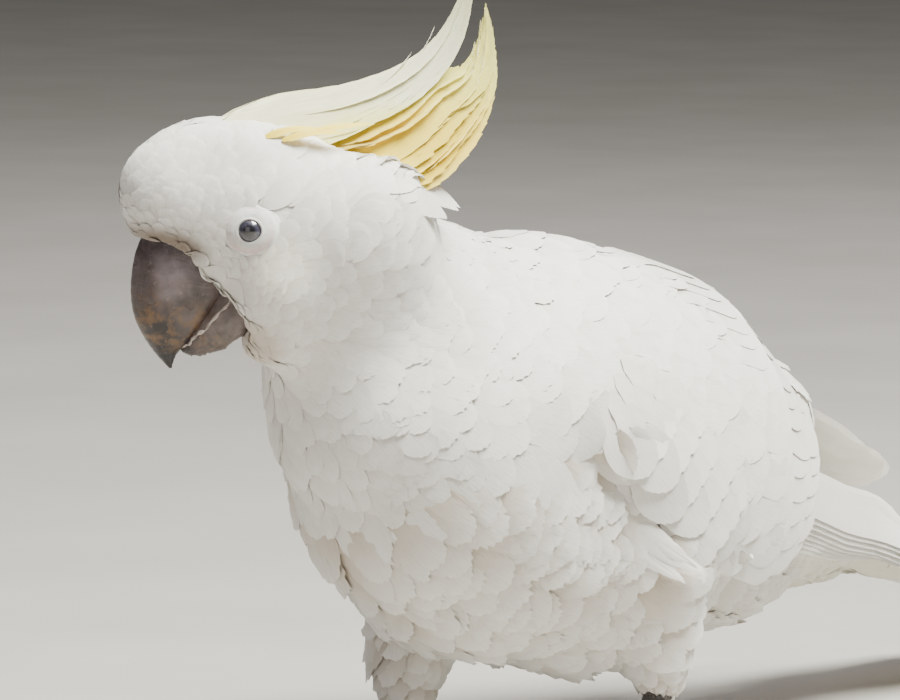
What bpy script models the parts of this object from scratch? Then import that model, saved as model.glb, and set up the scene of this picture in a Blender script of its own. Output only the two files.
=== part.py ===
"""White cockatoo, life size, in mid stride with its head turned and its crest laid back.

The bird walks towards -Y, its left side is +X and +Z is up. Lengths are written in millimetres and
scaled by MM. The body is moulded from named lumps and parted with thin cuts; bill, crest, wings, tail
and feet are lofted from named sections. Every piece keeps GAP to its neighbours.
"""

import math

import bmesh
import bpy
import numpy as np
from mathutils import Matrix, Vector

MM = 0.001
GAP = 0.3 * MM

# Moulding of the body: a cell of the remesh, rounds of smoothing, and the faces it is thinned to.
BODY_CELL = 3.2 * MM
BODY_ROUNDS = 12
BODY_TRIANGLES = 1750

# Lumps of the body: centre and half sizes across, along and up.
BODY_LUMPS = {
    "breast": ((0, -50, 112), (55, 47, 57)),
    "keel": ((0, -24, 90), (51, 54, 52)),
    "belly": ((0, 22, 86), (54, 68, 57)),
    "mantle": ((0, -12, 136), (46, 74, 46)),
    "saddle": ((0, 58, 121), (44, 54, 46)),
    "rump": ((0, 95, 104), (34, 50, 32)),
    "vent": ((0, 88, 68), (32, 54, 34)),
    "undertail": ((0, 134, 62), (21, 56, 19)),
    "shoulder_l": ((30, -28, 136), (27, 42, 36)),
    "shoulder_r": ((-30, -28, 136), (27, 42, 36)),
    "neck_base": ((-3, -60, 150), (40, 42, 42)),
    "neck_top": ((-7, -86, 166), (33, 34, 36)),
    "crop": ((-3, -83, 128), (36, 27, 38)),
}

# The head turns to the bird's right about its own upright, at this point between the eyes.
HEAD_AT = (-12, -122, 189)
HEAD_YAW = 45.0
HEAD_LUMPS = {
    "cranium": ((-4, 0, 5), (33, 23.5, 30)),
    "forehead": ((19, 0, 10), (25, 18, 24)),
    "crown": ((2, 0, 18.5), (31, 18, 20)),
    "lore": ((9, 0, -8), (20, 17, 15)),
    "cheek": ((-8, 0, -17), (21, 23, 22)),
    "nape": ((-32, 0, -2), (30, 24, 30)),
    "chin": ((-8, 0, -34), (15, 13, 14)),
}

# The flat cuts that part head from neck (in the head's own axes) and neck from trunk: a point of
# the cut, and the way that it faces.
HEAD_CUT = ((-30, 0, -22), (0.80, 0, 0.60))
NECK_CUT = ((0, -66, 146), (0, -0.80, 0.60))

# Legs: hip lump to ankle, the left leg behind and the right one ahead.
HIP_AT = {"l": (35, 18, 74), "r": (-35, -8, 74)}
ANKLE_AT = {"l": (33, 30, 27), "r": (-35, -20, 24)}
FOOT_AT = {"l": (33, 14, 0), "r": (-34, -37, 0)}
THIGH_RADII = {"l": (26, 9.5), "r": (26, 11.5)}
# The block that parts a thigh from the trunk: its inner top corner, its outward tilt and its size
# outwards, along and down.
THIGH_INNER = 20
THIGH_TOP = 60
THIGH_TILT = 24
THIGH_BLOCK = (110, 78, 110)
SHANK_RADIUS = 4.6
PALM_RADII = (11.5, 12.0, 8.5)
PALM_HEIGHT = 5.0
# Each toe: the angle from straight ahead, outwards positive, its length and its claw's.
TOES = {
    "2_inner": (-25, 26, 12),
    "3_outer": (22, 37, 13),
    "4_back_outer": (150, 31, 12),
    "1_back_inner": (-155, 20, 10),
}
TOE_RADII = (4.0, 3.2)
TOE_START = 8.5
CLAW_RADII = (2.4, 0.6)
# A claw leaves the toe rising by this many degrees and bends down through the sweep.
CLAW_RISE = 18
CLAW_SWEEP = 62

EYE_RADIUS = 5.2
EYE_AT = (1.6, 18.8, 0)

# Profile of the bill, as (ahead, up) from the point between the eyes, with half widths.
BILL_UPPER = (
    ((34.5, -2), (8, -8), 10.5),
    ((37.4, -10), (7.5, -17), 11.0),
    ((38.6, -20), (12, -25), 10.3),
    ((37.6, -28.5), (18.5, -30), 8.8),
    ((34.4, -35.6), (23, -35), 6.0),
    ((30.6, -41), (25.6, -40.2), 3.2),
    ((26.6, -45.4), (25.6, -45.2), 0.8),
)
BILL_LOWER = (
    ((6, -14), (-3, -26), 8.5),
    ((11, -21), (1.5, -33), 10.8),
    ((15.5, -27.5), (8, -38.5), 10.2),
    ((20, -32), (15.5, -40), 8.6),
    ((23, -35), (21, -39.5), 6.0),
    ((24.6, -36.8), (24, -38.4), 2.6),
)

# The crest's two plumes, as (ahead, up) of the lower and upper edge, with half thickness.
CREST_FRONT = (
    ((19, 28), (18, 33.5), 8.0),
    ((4, 29), (3, 38), 9.0),
    ((-14, 29), (-13.7, 39.8), 8.0),
    ((-29, 32), (-29.5, 41.8), 6.6),
    ((-44, 38.5), (-43.5, 46.4), 5.0),
    ((-56.5, 47), (-53.2, 52.4), 3.8),
    ((-65.2, 58.5), (-60.8, 61), 2.8),
    ((-69.4, 71.5), (-65.8, 72), 2.0),
    ((-72, 84.6), (-70.6, 84.8), 0.8),
)
CREST_REAR = (
    ((-18, 22), (-16, 29), 8.0),
    ((-36, 17), (-32, 31), 8.0),
    ((-52, 15), (-46.5, 38), 6.5),
    ((-65, 25.5), (-57, 46.5), 5.0),
    ((-73.4, 39), (-65.8, 49), 3.8),
    ((-75.8, 54), (-70, 58), 2.4),
    ((-74.4, 68.8), (-72.8, 69), 0.9),
)

# The folded wing lies on an oval hull: along, middle height, half width, half height.
HULL = (
    (-60, 120, 48, 46),
    (-25, 112, 57, 63),
    (5, 106, 60, 70),
    (35, 101, 60, 71.5),
    (74, 92, 54, 67),
    (105, 81, 45, 54),
    (135, 69, 36, 41),
    (165, 60, 28, 28),
    (195, 48, 23, 17),
    (240, 38, 19, 11),
)
# Wing pieces on that hull: along, angle of the upper edge and of the lower edge from straight up.
COVERT_EDGES = (
    (-50, 40, 66),
    (-38, 26, 84),
    (-10, 15, 101),
    (20, 11, 117),
    (48, 11, 121),
    (66, 24, 112),
    (76, 48, 92),
)
# The left wing is tucked in, with its primaries low along the tail; the right one reaches further back.
SECONDARY_EDGES = {
    "l": (
        (50, 18, 40),
        (60, 15, 92),
        (72, 10, 113),
        (86, 8, 111),
        (98, 12, 108),
        (108, 30, 100),
        (116, 52, 90),
    ),
    "r": (
        (50, 18, 40),
        (60, 15, 92),
        (78, 7, 114),
        (98, 4, 111),
        (120, 6, 105),
        (138, 16, 98),
        (152, 34, 82),
    ),
}
PRIMARY_EDGES = {
    "l": (
        (100, 68, 100),
        (118, 76, 103),
        (140, 82, 104),
        (165, 78, 102),
        (188, 62, 96),
        (208, 52, 84),
        (222, 54, 70),
    ),
    "r": (
        (112, 50, 92),
        (136, 40, 96),
        (162, 32, 96),
        (188, 28, 90),
        (210, 32, 76),
        (228, 42, 62),
    ),
}
# Thickness of each piece, and how deep its outer face lies under the hull.
COVERT_THICK, COVERT_INSET = 8.0, -1.5
SECONDARY_THICK, SECONDARY_INSET = 4.5, 0.6
PRIMARY_THICK, PRIMARY_INSET = 2.6, 1.2
# The right wing sits a little further forward, and its tip rises between two places along the hull.
WING_BACK = {"l": 0.0, "r": -4.0}
BACK_FROM, BACK_TO = -50.0, 50.0
TIP_LIFT = {"l": 0.0, "r": 27.0}
LIFT_FROM, LIFT_TO = 60.0, 210.0
# The room cut for a wing piece opens this far outwards and turns this far past its edges.
WING_ROOM = 12.0
ROOM_TURN = 1.0

# The tail slopes down behind the rump.
TAIL_ROOT = (0, 92, 84)
TAIL_LENGTH = 200.0
TAIL_SLOPE = 17.0
TAIL_HALF_WIDTHS = (13, 17, 21, 25, 29, 32, 33.5, 32, 25)
TAIL_THICK = 3.2
TAIL_CAMBER = 5.0

RING_POINTS = 12


def mm(point):
    """A point or size written in millimetres, in metres."""
    return Vector(point) * MM


def head_frame():
    """Matrix from (ahead, left, up) of the head to the bird's own axes."""
    yaw = math.radians(HEAD_YAW)
    ahead = Vector((-math.sin(yaw), -math.cos(yaw), 0))
    left = Vector((math.cos(yaw), -math.sin(yaw), 0))
    frame = Matrix((ahead, left, Vector((0, 0, 1)))).transposed().to_4x4()
    frame.translation = mm(HEAD_AT)
    return frame


def clear_scene():
    for old in list(bpy.data.objects):
        bpy.data.objects.remove(old)


def material(name, colour, roughness):
    made = bpy.data.materials.new(name)
    made.use_nodes = True
    shader = made.node_tree.nodes["Principled BSDF"]
    shader.inputs["Base Color"].default_value = (*colour, 1)
    shader.inputs["Roughness"].default_value = roughness
    return made


def new_object(name, mesh, finish=None):
    made = bpy.data.objects.new(name, mesh)
    bpy.context.scene.collection.objects.link(made)
    if finish:
        mesh.materials.append(finish)
    return made


def object_from(name, bm, finish=None):
    """A smooth-shaded object from a bmesh, which this uses up."""
    bmesh.ops.recalc_face_normals(bm, faces=bm.faces)
    if bm.calc_volume(signed=True) < 0:
        bmesh.ops.reverse_faces(bm, faces=bm.faces)
    mesh = bpy.data.meshes.new(name)
    bm.to_mesh(mesh)
    bm.free()
    mesh.shade_smooth()
    mesh.set_sharp_from_angle(angle=math.radians(40))
    return new_object(name, mesh, finish)


def helper(made):
    """Marks a cutter, which isn't a part of the bird."""
    made.hide_render = True
    made.display_type = "WIRE"
    return made


def add_lump(bm, centre, radii, frame=None):
    """An ellipsoid, its sizes in millimetres, placed in a frame."""
    place = (frame or Matrix()) @ Matrix.Translation(mm(centre)) @ Matrix.Diagonal((*mm(radii), 1))
    bmesh.ops.create_uvsphere(bm, u_segments=24, v_segments=16, radius=1, matrix=place)


def add_limb(bm, start, end, radii, beads=12):
    """A tapered limb, as a row of balls that the remesh joins."""
    for i in range(beads):
        share = i / (beads - 1)
        radius = radii[0] + (radii[1] - radii[0]) * share**0.7
        add_lump(bm, Vector(start).lerp(Vector(end), share), (radius,) * 3)


def evaluated_bmesh(made):
    graph = bpy.context.evaluated_depsgraph_get()
    mesh = bpy.data.meshes.new_from_object(made.evaluated_get(graph), depsgraph=graph)
    bm = bmesh.new()
    bm.from_mesh(mesh)
    bpy.data.meshes.remove(mesh)
    return bm


def moulded(bm, cell, rounds, triangles):
    """The lumps of a bmesh joined into one smooth skin, as a new bmesh."""
    lumps = object_from("lumps", bm)
    remesh = lumps.modifiers.new("join", "REMESH")
    remesh.mode = "VOXEL"
    remesh.voxel_size = cell
    smooth = lumps.modifiers.new("smooth", "SMOOTH")
    smooth.factor = 0.5
    smooth.iterations = rounds
    fine = evaluated_bmesh(lumps)
    thin = lumps.modifiers.new("thin", "DECIMATE")
    thin.ratio = min(1.0, triangles / (2 * len(fine.faces)))
    fine.free()
    skin = evaluated_bmesh(lumps)
    bpy.data.objects.remove(lumps)
    bmesh.ops.triangulate(skin, faces=skin.faces)
    return skin


def keep_side(bm, point, normal):
    """Cuts a closed bmesh with a plane, keeps the side that normal points to, and closes it."""
    everything = [*bm.verts, *bm.edges, *bm.faces]
    cut = bmesh.ops.bisect_plane(
        bm, geom=everything, dist=1e-7, plane_co=point, plane_no=normal, clear_inner=True
    )
    edges = [e for e in cut["geom_cut"] if isinstance(e, bmesh.types.BMEdge)]
    bmesh.ops.triangle_fill(bm, use_beauty=True, use_dissolve=False, edges=edges)
    bmesh.ops.recalc_face_normals(bm, faces=bm.faces)


def loft(rings, strip=False):
    """A closed bmesh through rings of points.

    Each end is closed with a fan, or with a strip where a ring runs out along a shell and back.
    """
    bm = bmesh.new()
    rows = [[bm.verts.new(p) for p in ring] for ring in rings]
    count = len(rows[0])
    for low, high in zip(rows, rows[1:]):
        for i in range(count):
            j = (i + 1) % count
            bm.faces.new((low[i], low[j], high[j], high[i]))
    for row in (rows[0], rows[-1]):
        if strip:
            for k in range(count // 2 - 1):
                bm.faces.new((row[k], row[k + 1], row[count - 2 - k], row[count - 1 - k]))
            continue
        middle = bm.verts.new(sum((v.co for v in row), Vector()) / count)
        for i in range(count):
            bm.faces.new((row[i], row[(i + 1) % count], middle))
    bmesh.ops.triangulate(bm, faces=bm.faces, quad_method="FIXED")
    return bm


def eased(rows, steps):
    """Rows of numbers read from a smooth curve through them, steps times between each two."""
    rows = np.array(rows, float)
    padded = np.vstack([2 * rows[0] - rows[1], rows, 2 * rows[-1] - rows[-2]])
    found = []
    for k in range(len(rows) - 1):
        a, b, c, d = padded[k : k + 4]
        for t in np.arange(steps) / steps:
            found.append(
                0.5 * (2 * b + (c - a) * t + (2 * a - 5 * b + 4 * c - d) * t**2
                       + (3 * b - a - 3 * c + d) * t**3)
            )
    found.append(rows[-1])
    return np.array(found)


def grown_cutter(name, source, grow=GAP):
    """A hidden copy of an object's evaluated mesh, grown by a little on every side."""
    bm = evaluated_bmesh(source)
    bm.transform(source.matrix_world)
    bm.normal_update()
    moves = [v.normal * grow for v in bm.verts]
    for v, move in zip(bm.verts, moves):
        v.co += move
    return helper(object_from(name, bm))


def boolean(made, operation, other):
    cut = made.modifiers.new(f"{operation.lower()}_{other.name}", "BOOLEAN")
    cut.operation = operation
    cut.object = other
    return cut


def keep_largest(made):
    """Applies an object's modifiers and drops all but the largest of its bodies."""
    bm = evaluated_bmesh(made)
    waiting = set(bm.verts)
    bodies = []
    while waiting:
        body, edge = set(), {waiting.pop()}
        while edge:
            body |= edge
            edge = {e.other_vert(v) for v in edge for e in v.link_edges} - body
        waiting -= body
        bodies.append(body)
    bodies.sort(key=len)
    for body in bodies[:-1]:
        bmesh.ops.delete(bm, geom=list(body), context="VERTS")
    made.modifiers.clear()
    bm.to_mesh(made.data)
    bm.free()


def profile_ring(front, back, half_width, frame, tightness=1.0, points=RING_POINTS):
    """A rounded ring across the head's middle plane, between two (ahead, up) points."""
    front, back = Vector((front[0], 0, front[1])), Vector((back[0], 0, back[1]))
    middle, reach = (front + back) / 2, (front - back) / 2
    ring = []
    for i in range(points):
        angle = 2 * math.pi * i / points
        side = math.copysign(abs(math.sin(angle)) ** tightness, math.sin(angle))
        local = middle + reach * math.cos(angle) + Vector((0, half_width * side, 0))
        ring.append(frame @ (local * MM))
    return ring


def profile_loft(sections, frame, steps=2, points=RING_POINTS, tightness=1.0):
    rows = eased([(*front, *back, width) for front, back, width in sections], steps)
    rings = [
        profile_ring((a, b), (c, d), max(width, 0.4), frame, tightness, points)
        for a, b, c, d, width in rows
    ]
    return loft(rings)


def make_body(finish):
    """Head, neck, trunk and thighs, moulded as one and parted with thin cuts."""
    frame = head_frame()
    bm = bmesh.new()
    for centre, radii in BODY_LUMPS.values():
        add_lump(bm, centre, radii)
    for centre, radii in HEAD_LUMPS.values():
        add_lump(bm, centre, radii, frame)
    for side in "lr":
        add_limb(bm, HIP_AT[side], ANKLE_AT[side], THIGH_RADII[side])
    whole = moulded(bm, BODY_CELL, BODY_ROUNDS, BODY_TRIANGLES)

    half = GAP / 2
    head_cut, head_way = frame @ mm(HEAD_CUT[0]), frame.to_3x3() @ Vector(HEAD_CUT[1])
    neck_cut, neck_way = mm(NECK_CUT[0]), Vector(NECK_CUT[1])

    pieces = {}
    head = whole.copy()
    keep_side(head, head_cut + head_way * half, head_way)
    pieces["head"] = object_from("head", head, finish)
    neck = whole.copy()
    keep_side(neck, head_cut - head_way * half, -head_way)
    keep_side(neck, neck_cut + neck_way * half, neck_way)
    pieces["neck"] = object_from("neck", neck, finish)
    keep_side(whole, neck_cut - neck_way * half, -neck_way)

    for side, sign in (("l", 1), ("r", -1)):
        leg = whole.copy()
        region = thigh_region(side, sign, 0.0)
        pieces["thigh_" + side] = object_from("thigh_" + side, leg, finish)
        boolean(pieces["thigh_" + side], "INTERSECT", region)
    pieces["trunk"] = object_from("trunk", whole, finish)
    for side, sign in (("l", 1), ("r", -1)):
        boolean(pieces["trunk"], "DIFFERENCE", thigh_region(side, sign, GAP))
    return pieces


def thigh_region(side, sign, grow):
    """A tilted block that parts the thigh from the trunk, open outwards and downwards."""
    out, along, down = THIGH_BLOCK
    tilt = Matrix.Rotation(math.radians(THIGH_TILT) * sign, 4, "Y")
    corner = Vector((sign * THIGH_INNER, (HIP_AT[side][1] + ANKLE_AT[side][1]) / 2, THIGH_TOP))
    size = Vector((out, along, down)) * MM + Vector((2, 2, 2)) * grow
    middle = Vector((sign * out / 2, 0, -down / 2)) * MM
    bm = bmesh.new()
    bmesh.ops.create_cube(bm, size=1, matrix=Matrix.Translation(middle) @ Matrix.Diagonal((*size, 1)))
    bm.transform(Matrix.Translation(mm(corner)) @ tilt)
    kind = "room" if grow else "block"
    return helper(object_from(f"thigh_{kind}_{side}", bm))


def make_eyes(head, finish):
    frame = head_frame()
    for side, sign in (("l", 1), ("r", -1)):
        bm = bmesh.new()
        centre = frame @ mm((EYE_AT[0], sign * EYE_AT[1], EYE_AT[2]))
        place = Matrix.Translation(centre)
        bmesh.ops.create_uvsphere(bm, u_segments=12, v_segments=8, radius=EYE_RADIUS * MM, matrix=place)
        eye = object_from("eye_" + side, bm, finish)
        boolean(head, "DIFFERENCE", grown_cutter("socket_" + side, eye))


def make_bill(head, horn):
    frame = head_frame()
    upper = object_from("bill_upper", profile_loft(BILL_UPPER, frame, tightness=0.8), horn)
    lower = object_from("bill_lower", profile_loft(BILL_LOWER, frame, tightness=0.8), horn)
    boolean(lower, "DIFFERENCE", grown_cutter("bill_room", upper))
    boolean(head, "DIFFERENCE", grown_cutter("upper_room", upper))
    boolean(head, "DIFFERENCE", grown_cutter("lower_room", lower))


def make_crest(head, white, yellow):
    frame = head_frame()
    front = object_from("crest_front", profile_loft(CREST_FRONT, frame, points=8), white)
    rear = object_from("crest_rear", profile_loft(CREST_REAR, frame, points=8), yellow)
    boolean(rear, "DIFFERENCE", grown_cutter("front_room", front))
    for plume in (front, rear):
        boolean(head, "DIFFERENCE", grown_cutter(plume.name + "_room", plume))


def share_between(value, low, high):
    return min(max((value - low) / (high - low), 0.0), 1.0)


def hull_point(along, angle, inset, side, sign):
    """A point of the wings' hull at a distance along and an angle from straight up, in metres."""
    rows = np.array(HULL, float)
    middle, wide, tall = (np.interp(along, rows[:, 0], rows[:, k]) for k in (1, 2, 3))
    turn = math.radians(angle)
    toward_tip = share_between(along, LIFT_FROM, LIFT_TO)
    lift = TIP_LIFT[side] * toward_tip**2 * (3 - 2 * toward_tip)
    back = WING_BACK[side] * share_between(along, BACK_FROM, BACK_TO)
    x = sign * (wide - inset) * math.sin(turn)
    return mm((x, along + back, middle + lift + (tall - inset) * math.cos(turn)))


def wing_blank(name, edges, thick, inset, side, sign, finish=None, across=7):
    """A thin curved shell on the hull. With no finish it is the room round that shell, open outwards."""
    room = finish is None
    margin = GAP / MM if room else 0.0
    rings = []
    for index, (along, top, low) in enumerate(edges):
        share = index / (len(edges) - 1)
        fullness = max(0.2, math.sin(math.pi * (0.06 + 0.88 * share)) ** 0.6)
        if room and index in (0, len(edges) - 1):
            along += margin if index else -margin
        outer, inner = [], []
        for k in range(across):
            t = k / (across - 1)
            angle = top + (low - top) * t + ROOM_TURN * room * (2 * t - 1)
            depth = thick * fullness * (0.15 + 0.85 * math.sin(math.pi * (0.04 + 0.92 * t)) ** 0.5)
            outer.append(hull_point(along, angle, inset - (WING_ROOM if room else 0), side, sign))
            inner.append(hull_point(along, angle, inset + depth + 2 * margin, side, sign))
        rings.append(outer + inner[::-1])
    made = object_from(name, loft(rings, strip=True), finish)
    return helper(made) if room else made


def make_wings(trunk, neck, tail, white):
    """Each wing's coverts, secondaries and primaries, every piece let into what lies under it."""
    tail_room = grown_cutter("tail_top_room", tail)
    for side, sign in (("l", 1), ("r", -1)):
        layers = (
            ("coverts", COVERT_EDGES, COVERT_THICK, COVERT_INSET),
            ("secondaries", SECONDARY_EDGES[side], SECONDARY_THICK, SECONDARY_INSET),
            ("primaries", PRIMARY_EDGES[side], PRIMARY_THICK, PRIMARY_INSET),
        )
        rooms = []
        for name, edges, thick, inset in layers:
            made = wing_blank(f"wing_{name}_{side}", edges, thick, inset, side, sign, white)
            for room in [*rooms, tail_room]:
                boolean(made, "DIFFERENCE", room)
            keep_largest(made)
            rooms.append(wing_blank(f"room_{name}_{side}", edges, thick, inset, side, sign))
        for room in rooms:
            boolean(trunk, "DIFFERENCE", room)
        boolean(neck, "DIFFERENCE", rooms[0])


def tail_frame():
    slope = math.radians(TAIL_SLOPE)
    back = Vector((0, math.cos(slope), -math.sin(slope)))
    left = Vector((1, 0, 0))
    frame = Matrix((left, back, left.cross(back))).transposed().to_4x4()
    frame.translation = mm(TAIL_ROOT)
    return frame


def make_tail(trunk, white):
    """The tail feathers as one thin, cambered fan."""
    frame = tail_frame()
    rings = []
    across = 7
    for index, width in enumerate(TAIL_HALF_WIDTHS):
        share = index / (len(TAIL_HALF_WIDTHS) - 1)
        thick = TAIL_THICK * (1 - 0.55 * share)
        top, under = [], []
        for k in range(across):
            t = 2 * k / (across - 1) - 1
            edge = 0.25 + 0.75 * math.sqrt(max(0.0, 1 - t * t))
            sag = -TAIL_CAMBER * t * t
            # The corners of the end are rounded.
            along = TAIL_LENGTH * share - 5 * share**8 * t * t
            top.append(frame @ mm((t * width, along, sag + thick * edge / 2)))
            under.append(frame @ mm((t * width, along, sag - thick * edge / 2)))
        rings.append(top + under[::-1])
    tail = object_from("tail", loft(rings, strip=True), white)
    boolean(trunk, "DIFFERENCE", grown_cutter("tail_room", tail))
    return tail


def ground_ring(centre, way, radius, points):
    """A ring square to a way ahead, with what is under the floor pressed flat on it."""
    across = Vector((-way.y, way.x, 0)).normalized()
    up = across.cross(way).normalized()
    if up.z < 0:
        up = -up
    ring = []
    for i in range(points):
        angle = 2 * math.pi * i / points
        p = centre + across * radius * math.cos(angle) + up * radius * math.sin(angle)
        ring.append(Vector((p.x, p.y, max(p.z, 0.0))))
    return ring


def make_palm(side, skin):
    """The ball of the foot: an egg cut off flat at floor level."""
    bm = bmesh.new()
    centre = Vector(FOOT_AT[side]) + Vector((0, 0, PALM_HEIGHT))
    place = Matrix.Translation(mm(centre)) @ Matrix.Diagonal((*mm(PALM_RADII), 1))
    bmesh.ops.create_uvsphere(bm, u_segments=12, v_segments=8, radius=1, matrix=place)
    keep_side(bm, Vector((0, 0, 0)), Vector((0, 0, 1)))
    return object_from(f"palm_{side}", bm, skin)


def make_foot(side, sign, skin, horn, thigh):
    """Shank, palm, four toes and their claws, standing on flats at floor level."""
    ankle, foot = mm(ANKLE_AT[side]), mm(FOOT_AT[side])
    palm = make_palm(side, skin)

    down = foot + mm((0, 0, PALM_HEIGHT)) - ankle
    across = Vector((1, 0, 0))
    upright = across.cross(down).normalized()
    turns = [2 * math.pi * k / 10 for k in range(10)]
    rings = []
    for share in (-0.25, 0.0, 0.25, 0.5, 0.75, 1.0):
        centre = ankle + down * share
        radius = SHANK_RADIUS * MM * (1.12 - 0.30 * math.sin(math.pi * max(0.0, share)))
        rings.append([centre + (across * math.cos(a) + upright * math.sin(a)) * radius for a in turns])
    shank = object_from(f"shank_{side}", loft(rings), skin)
    boolean(shank, "DIFFERENCE", grown_cutter(f"palm_room_{side}", palm))
    boolean(thigh, "DIFFERENCE", grown_cutter(f"shank_room_{side}", shank))

    for toe, (turn, length, claw) in TOES.items():
        angle = math.radians(turn) * sign
        way = Vector((math.sin(angle), -math.cos(angle), 0))
        rings = []
        for i in range(6):
            share = i / 5
            radius = (TOE_RADII[0] + (TOE_RADII[1] - TOE_RADII[0]) * share) * MM
            # The joints swell a little, and the pads lie on the floor.
            radius *= 1 + 0.06 * math.cos(4 * math.pi * share)
            centre = foot + way * (TOE_START + (length - TOE_START) * share) * MM
            centre.z = radius * 0.86
            rings.append(ground_ring(centre, way, radius, 8))
        made = object_from(f"toe_{side}_{toe}", loft(rings), skin)
        boolean(made, "DIFFERENCE", grown_cutter(f"palm_room_{side}_{toe}", palm))
        make_claw(f"claw_{side}_{toe}", foot + way * (length * MM + GAP), way, claw, horn)


def make_claw(name, root, way, length, horn):
    """A claw that leaves the toe a little upwards and curves down to the floor."""
    start, sweep = math.radians(-CLAW_RISE), math.radians(CLAW_SWEEP)
    bend = length * MM / sweep
    rings = []
    for i in range(5):
        share = i / 4
        turn = start + sweep * share
        radius = (CLAW_RADII[0] * (1 - share) + CLAW_RADII[1] * share) * MM
        rise = bend * (math.cos(turn) - math.cos(start))
        run = bend * (math.sin(turn) - math.sin(start))
        centre = root + way * run + Vector((0, 0, TOE_RADII[1] * MM + rise))
        centre.z = max(centre.z, radius + 0.25 * MM)
        heading = way * math.cos(turn) - Vector((0, 0, 1)) * math.sin(turn) if i else way
        rings.append(ground_ring(centre, heading, radius, 6))
    return object_from(name, loft(rings), horn)


def stand_on_origin():
    """Moves everything so that the middle of the bird's box is over the origin."""
    bpy.context.view_layer.update()
    graph = bpy.context.evaluated_depsgraph_get()
    points = []
    for made in bpy.context.scene.objects:
        if made.type == "MESH" and not made.hide_render:
            shown = made.evaluated_get(graph)
            points += [shown.matrix_world @ Vector(c) for c in shown.bound_box]
    low = Vector(map(min, *points))
    high = Vector(map(max, *points))
    move = Vector((-(low.x + high.x) / 2, -(low.y + high.y) / 2, -low.z))
    for made in bpy.context.scene.objects:
        made.location += move
    print("moved by", [round(x / MM, 2) for x in move], "mm; size", [round(x / MM, 1) for x in high - low])


def main():
    clear_scene()
    white = material("white_plumage", (0.86, 0.85, 0.82), 0.85)
    yellow = material("yellow_crest", (0.90, 0.80, 0.36), 0.80)
    horn = material("grey_horn", (0.10, 0.085, 0.09), 0.45)
    skin = material("grey_foot_skin", (0.20, 0.19, 0.20), 0.70)
    black = material("dark_eye", (0.02, 0.018, 0.022), 0.08)

    body = make_body(white)
    make_eyes(body["head"], black)
    make_bill(body["head"], horn)
    make_crest(body["head"], white, yellow)
    tail = make_tail(body["trunk"], white)
    make_wings(body["trunk"], body["neck"], tail, white)
    for side, sign in (("l", 1), ("r", -1)):
        make_foot(side, sign, skin, horn, body["thigh_" + side])
    stand_on_origin()


main()
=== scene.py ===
# %% [markdown]
# # A sulphur-crested cockatoo, life size
# The bird stands in mid stride with its head turned to its right. The frame holds plain solids
# for the head, neck, trunk, thighs, wings, tail, crest, bill, eyes and feet. This lesson grows
# the looks over them: one skin, a coat of real mesh feathers, horn, scales and eyes. Sizes are
# in millimetres where they are named with MM, because a bird is measured that way.
# %% Load the frame
import math

import bmesh
import bpy
import numpy as np
from mathutils import Matrix, Vector
from mathutils.bvhtree import BVHTree
from mathutils.kdtree import KDTree


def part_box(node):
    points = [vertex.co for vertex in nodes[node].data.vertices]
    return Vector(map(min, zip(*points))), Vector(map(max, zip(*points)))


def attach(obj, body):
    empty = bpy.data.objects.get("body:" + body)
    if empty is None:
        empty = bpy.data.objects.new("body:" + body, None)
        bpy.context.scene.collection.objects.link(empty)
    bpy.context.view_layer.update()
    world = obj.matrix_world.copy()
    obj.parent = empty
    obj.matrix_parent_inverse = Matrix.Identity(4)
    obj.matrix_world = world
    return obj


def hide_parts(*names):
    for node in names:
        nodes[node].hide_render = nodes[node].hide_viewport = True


MM = 0.001
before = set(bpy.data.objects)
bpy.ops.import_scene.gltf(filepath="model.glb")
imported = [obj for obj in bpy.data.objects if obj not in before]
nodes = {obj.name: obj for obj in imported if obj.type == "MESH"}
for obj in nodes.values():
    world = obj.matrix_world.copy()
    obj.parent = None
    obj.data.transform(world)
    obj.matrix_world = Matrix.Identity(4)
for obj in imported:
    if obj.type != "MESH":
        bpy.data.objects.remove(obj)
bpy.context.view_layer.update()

# %% [markdown]
# The head is turned, so its parts are placed in axes of its own: ahead, left and up. The two
# eyes give those axes. Everything on the face is then written as plain distances from the
# middle of the head, which is how a taxidermist measures a mount.
# %% Head axes
EYE_AHEAD = 1.6
EYE_RADIUS = 5.2


def middle(node):
    low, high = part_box(node)
    return (Vector(low) + Vector(high)) / 2


eye_left, eye_right = middle("eye_l"), middle("eye_r")
head_left = (eye_left - eye_right).normalized()
head_up = Vector((0, 0, 1))
head_ahead = head_left.cross(head_up).normalized()
head_centre = (eye_left + eye_right) / 2 - head_ahead * EYE_AHEAD * MM
HEAD_AXES = np.array([head_ahead, head_left, head_up])
print("head centre, mm:", [round(c / MM, 1) for c in head_centre])


def from_head(places):
    """Points in the frame from places (ahead, left, up) in head millimetres."""
    return np.array(head_centre) + places @ HEAD_AXES * MM


def head_coordinates(points):
    """The reverse: millimetres ahead, left and up."""
    return (points - np.array(head_centre)) @ HEAD_AXES.T / MM


# %% [markdown]
# The camera looks from the bird's front left, a little above its back. A long lens two metres
# away keeps the proportions calm. The target hangs off the near eye, so the framing follows the
# frame if the bird is ever moved.
# %% Camera
CAMERA_AZIMUTH = 40.0
CAMERA_ELEVATION = 6.5
CAMERA_DISTANCE = 2.0
CAMERA_LENS = 256.0
SENSOR_WIDTH = 36.0
FARTHEST_SEEN = 50.0
TARGET_RIGHT, TARGET_DOWN = 62.2, 37.5


def way_towards(azimuth, elevation):
    """The direction from the bird towards a camera or light, from angles in degrees."""
    az, el = math.radians(azimuth), math.radians(elevation)
    return Vector((math.sin(az) * math.cos(el), -math.cos(az) * math.cos(el), math.sin(el)))


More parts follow.
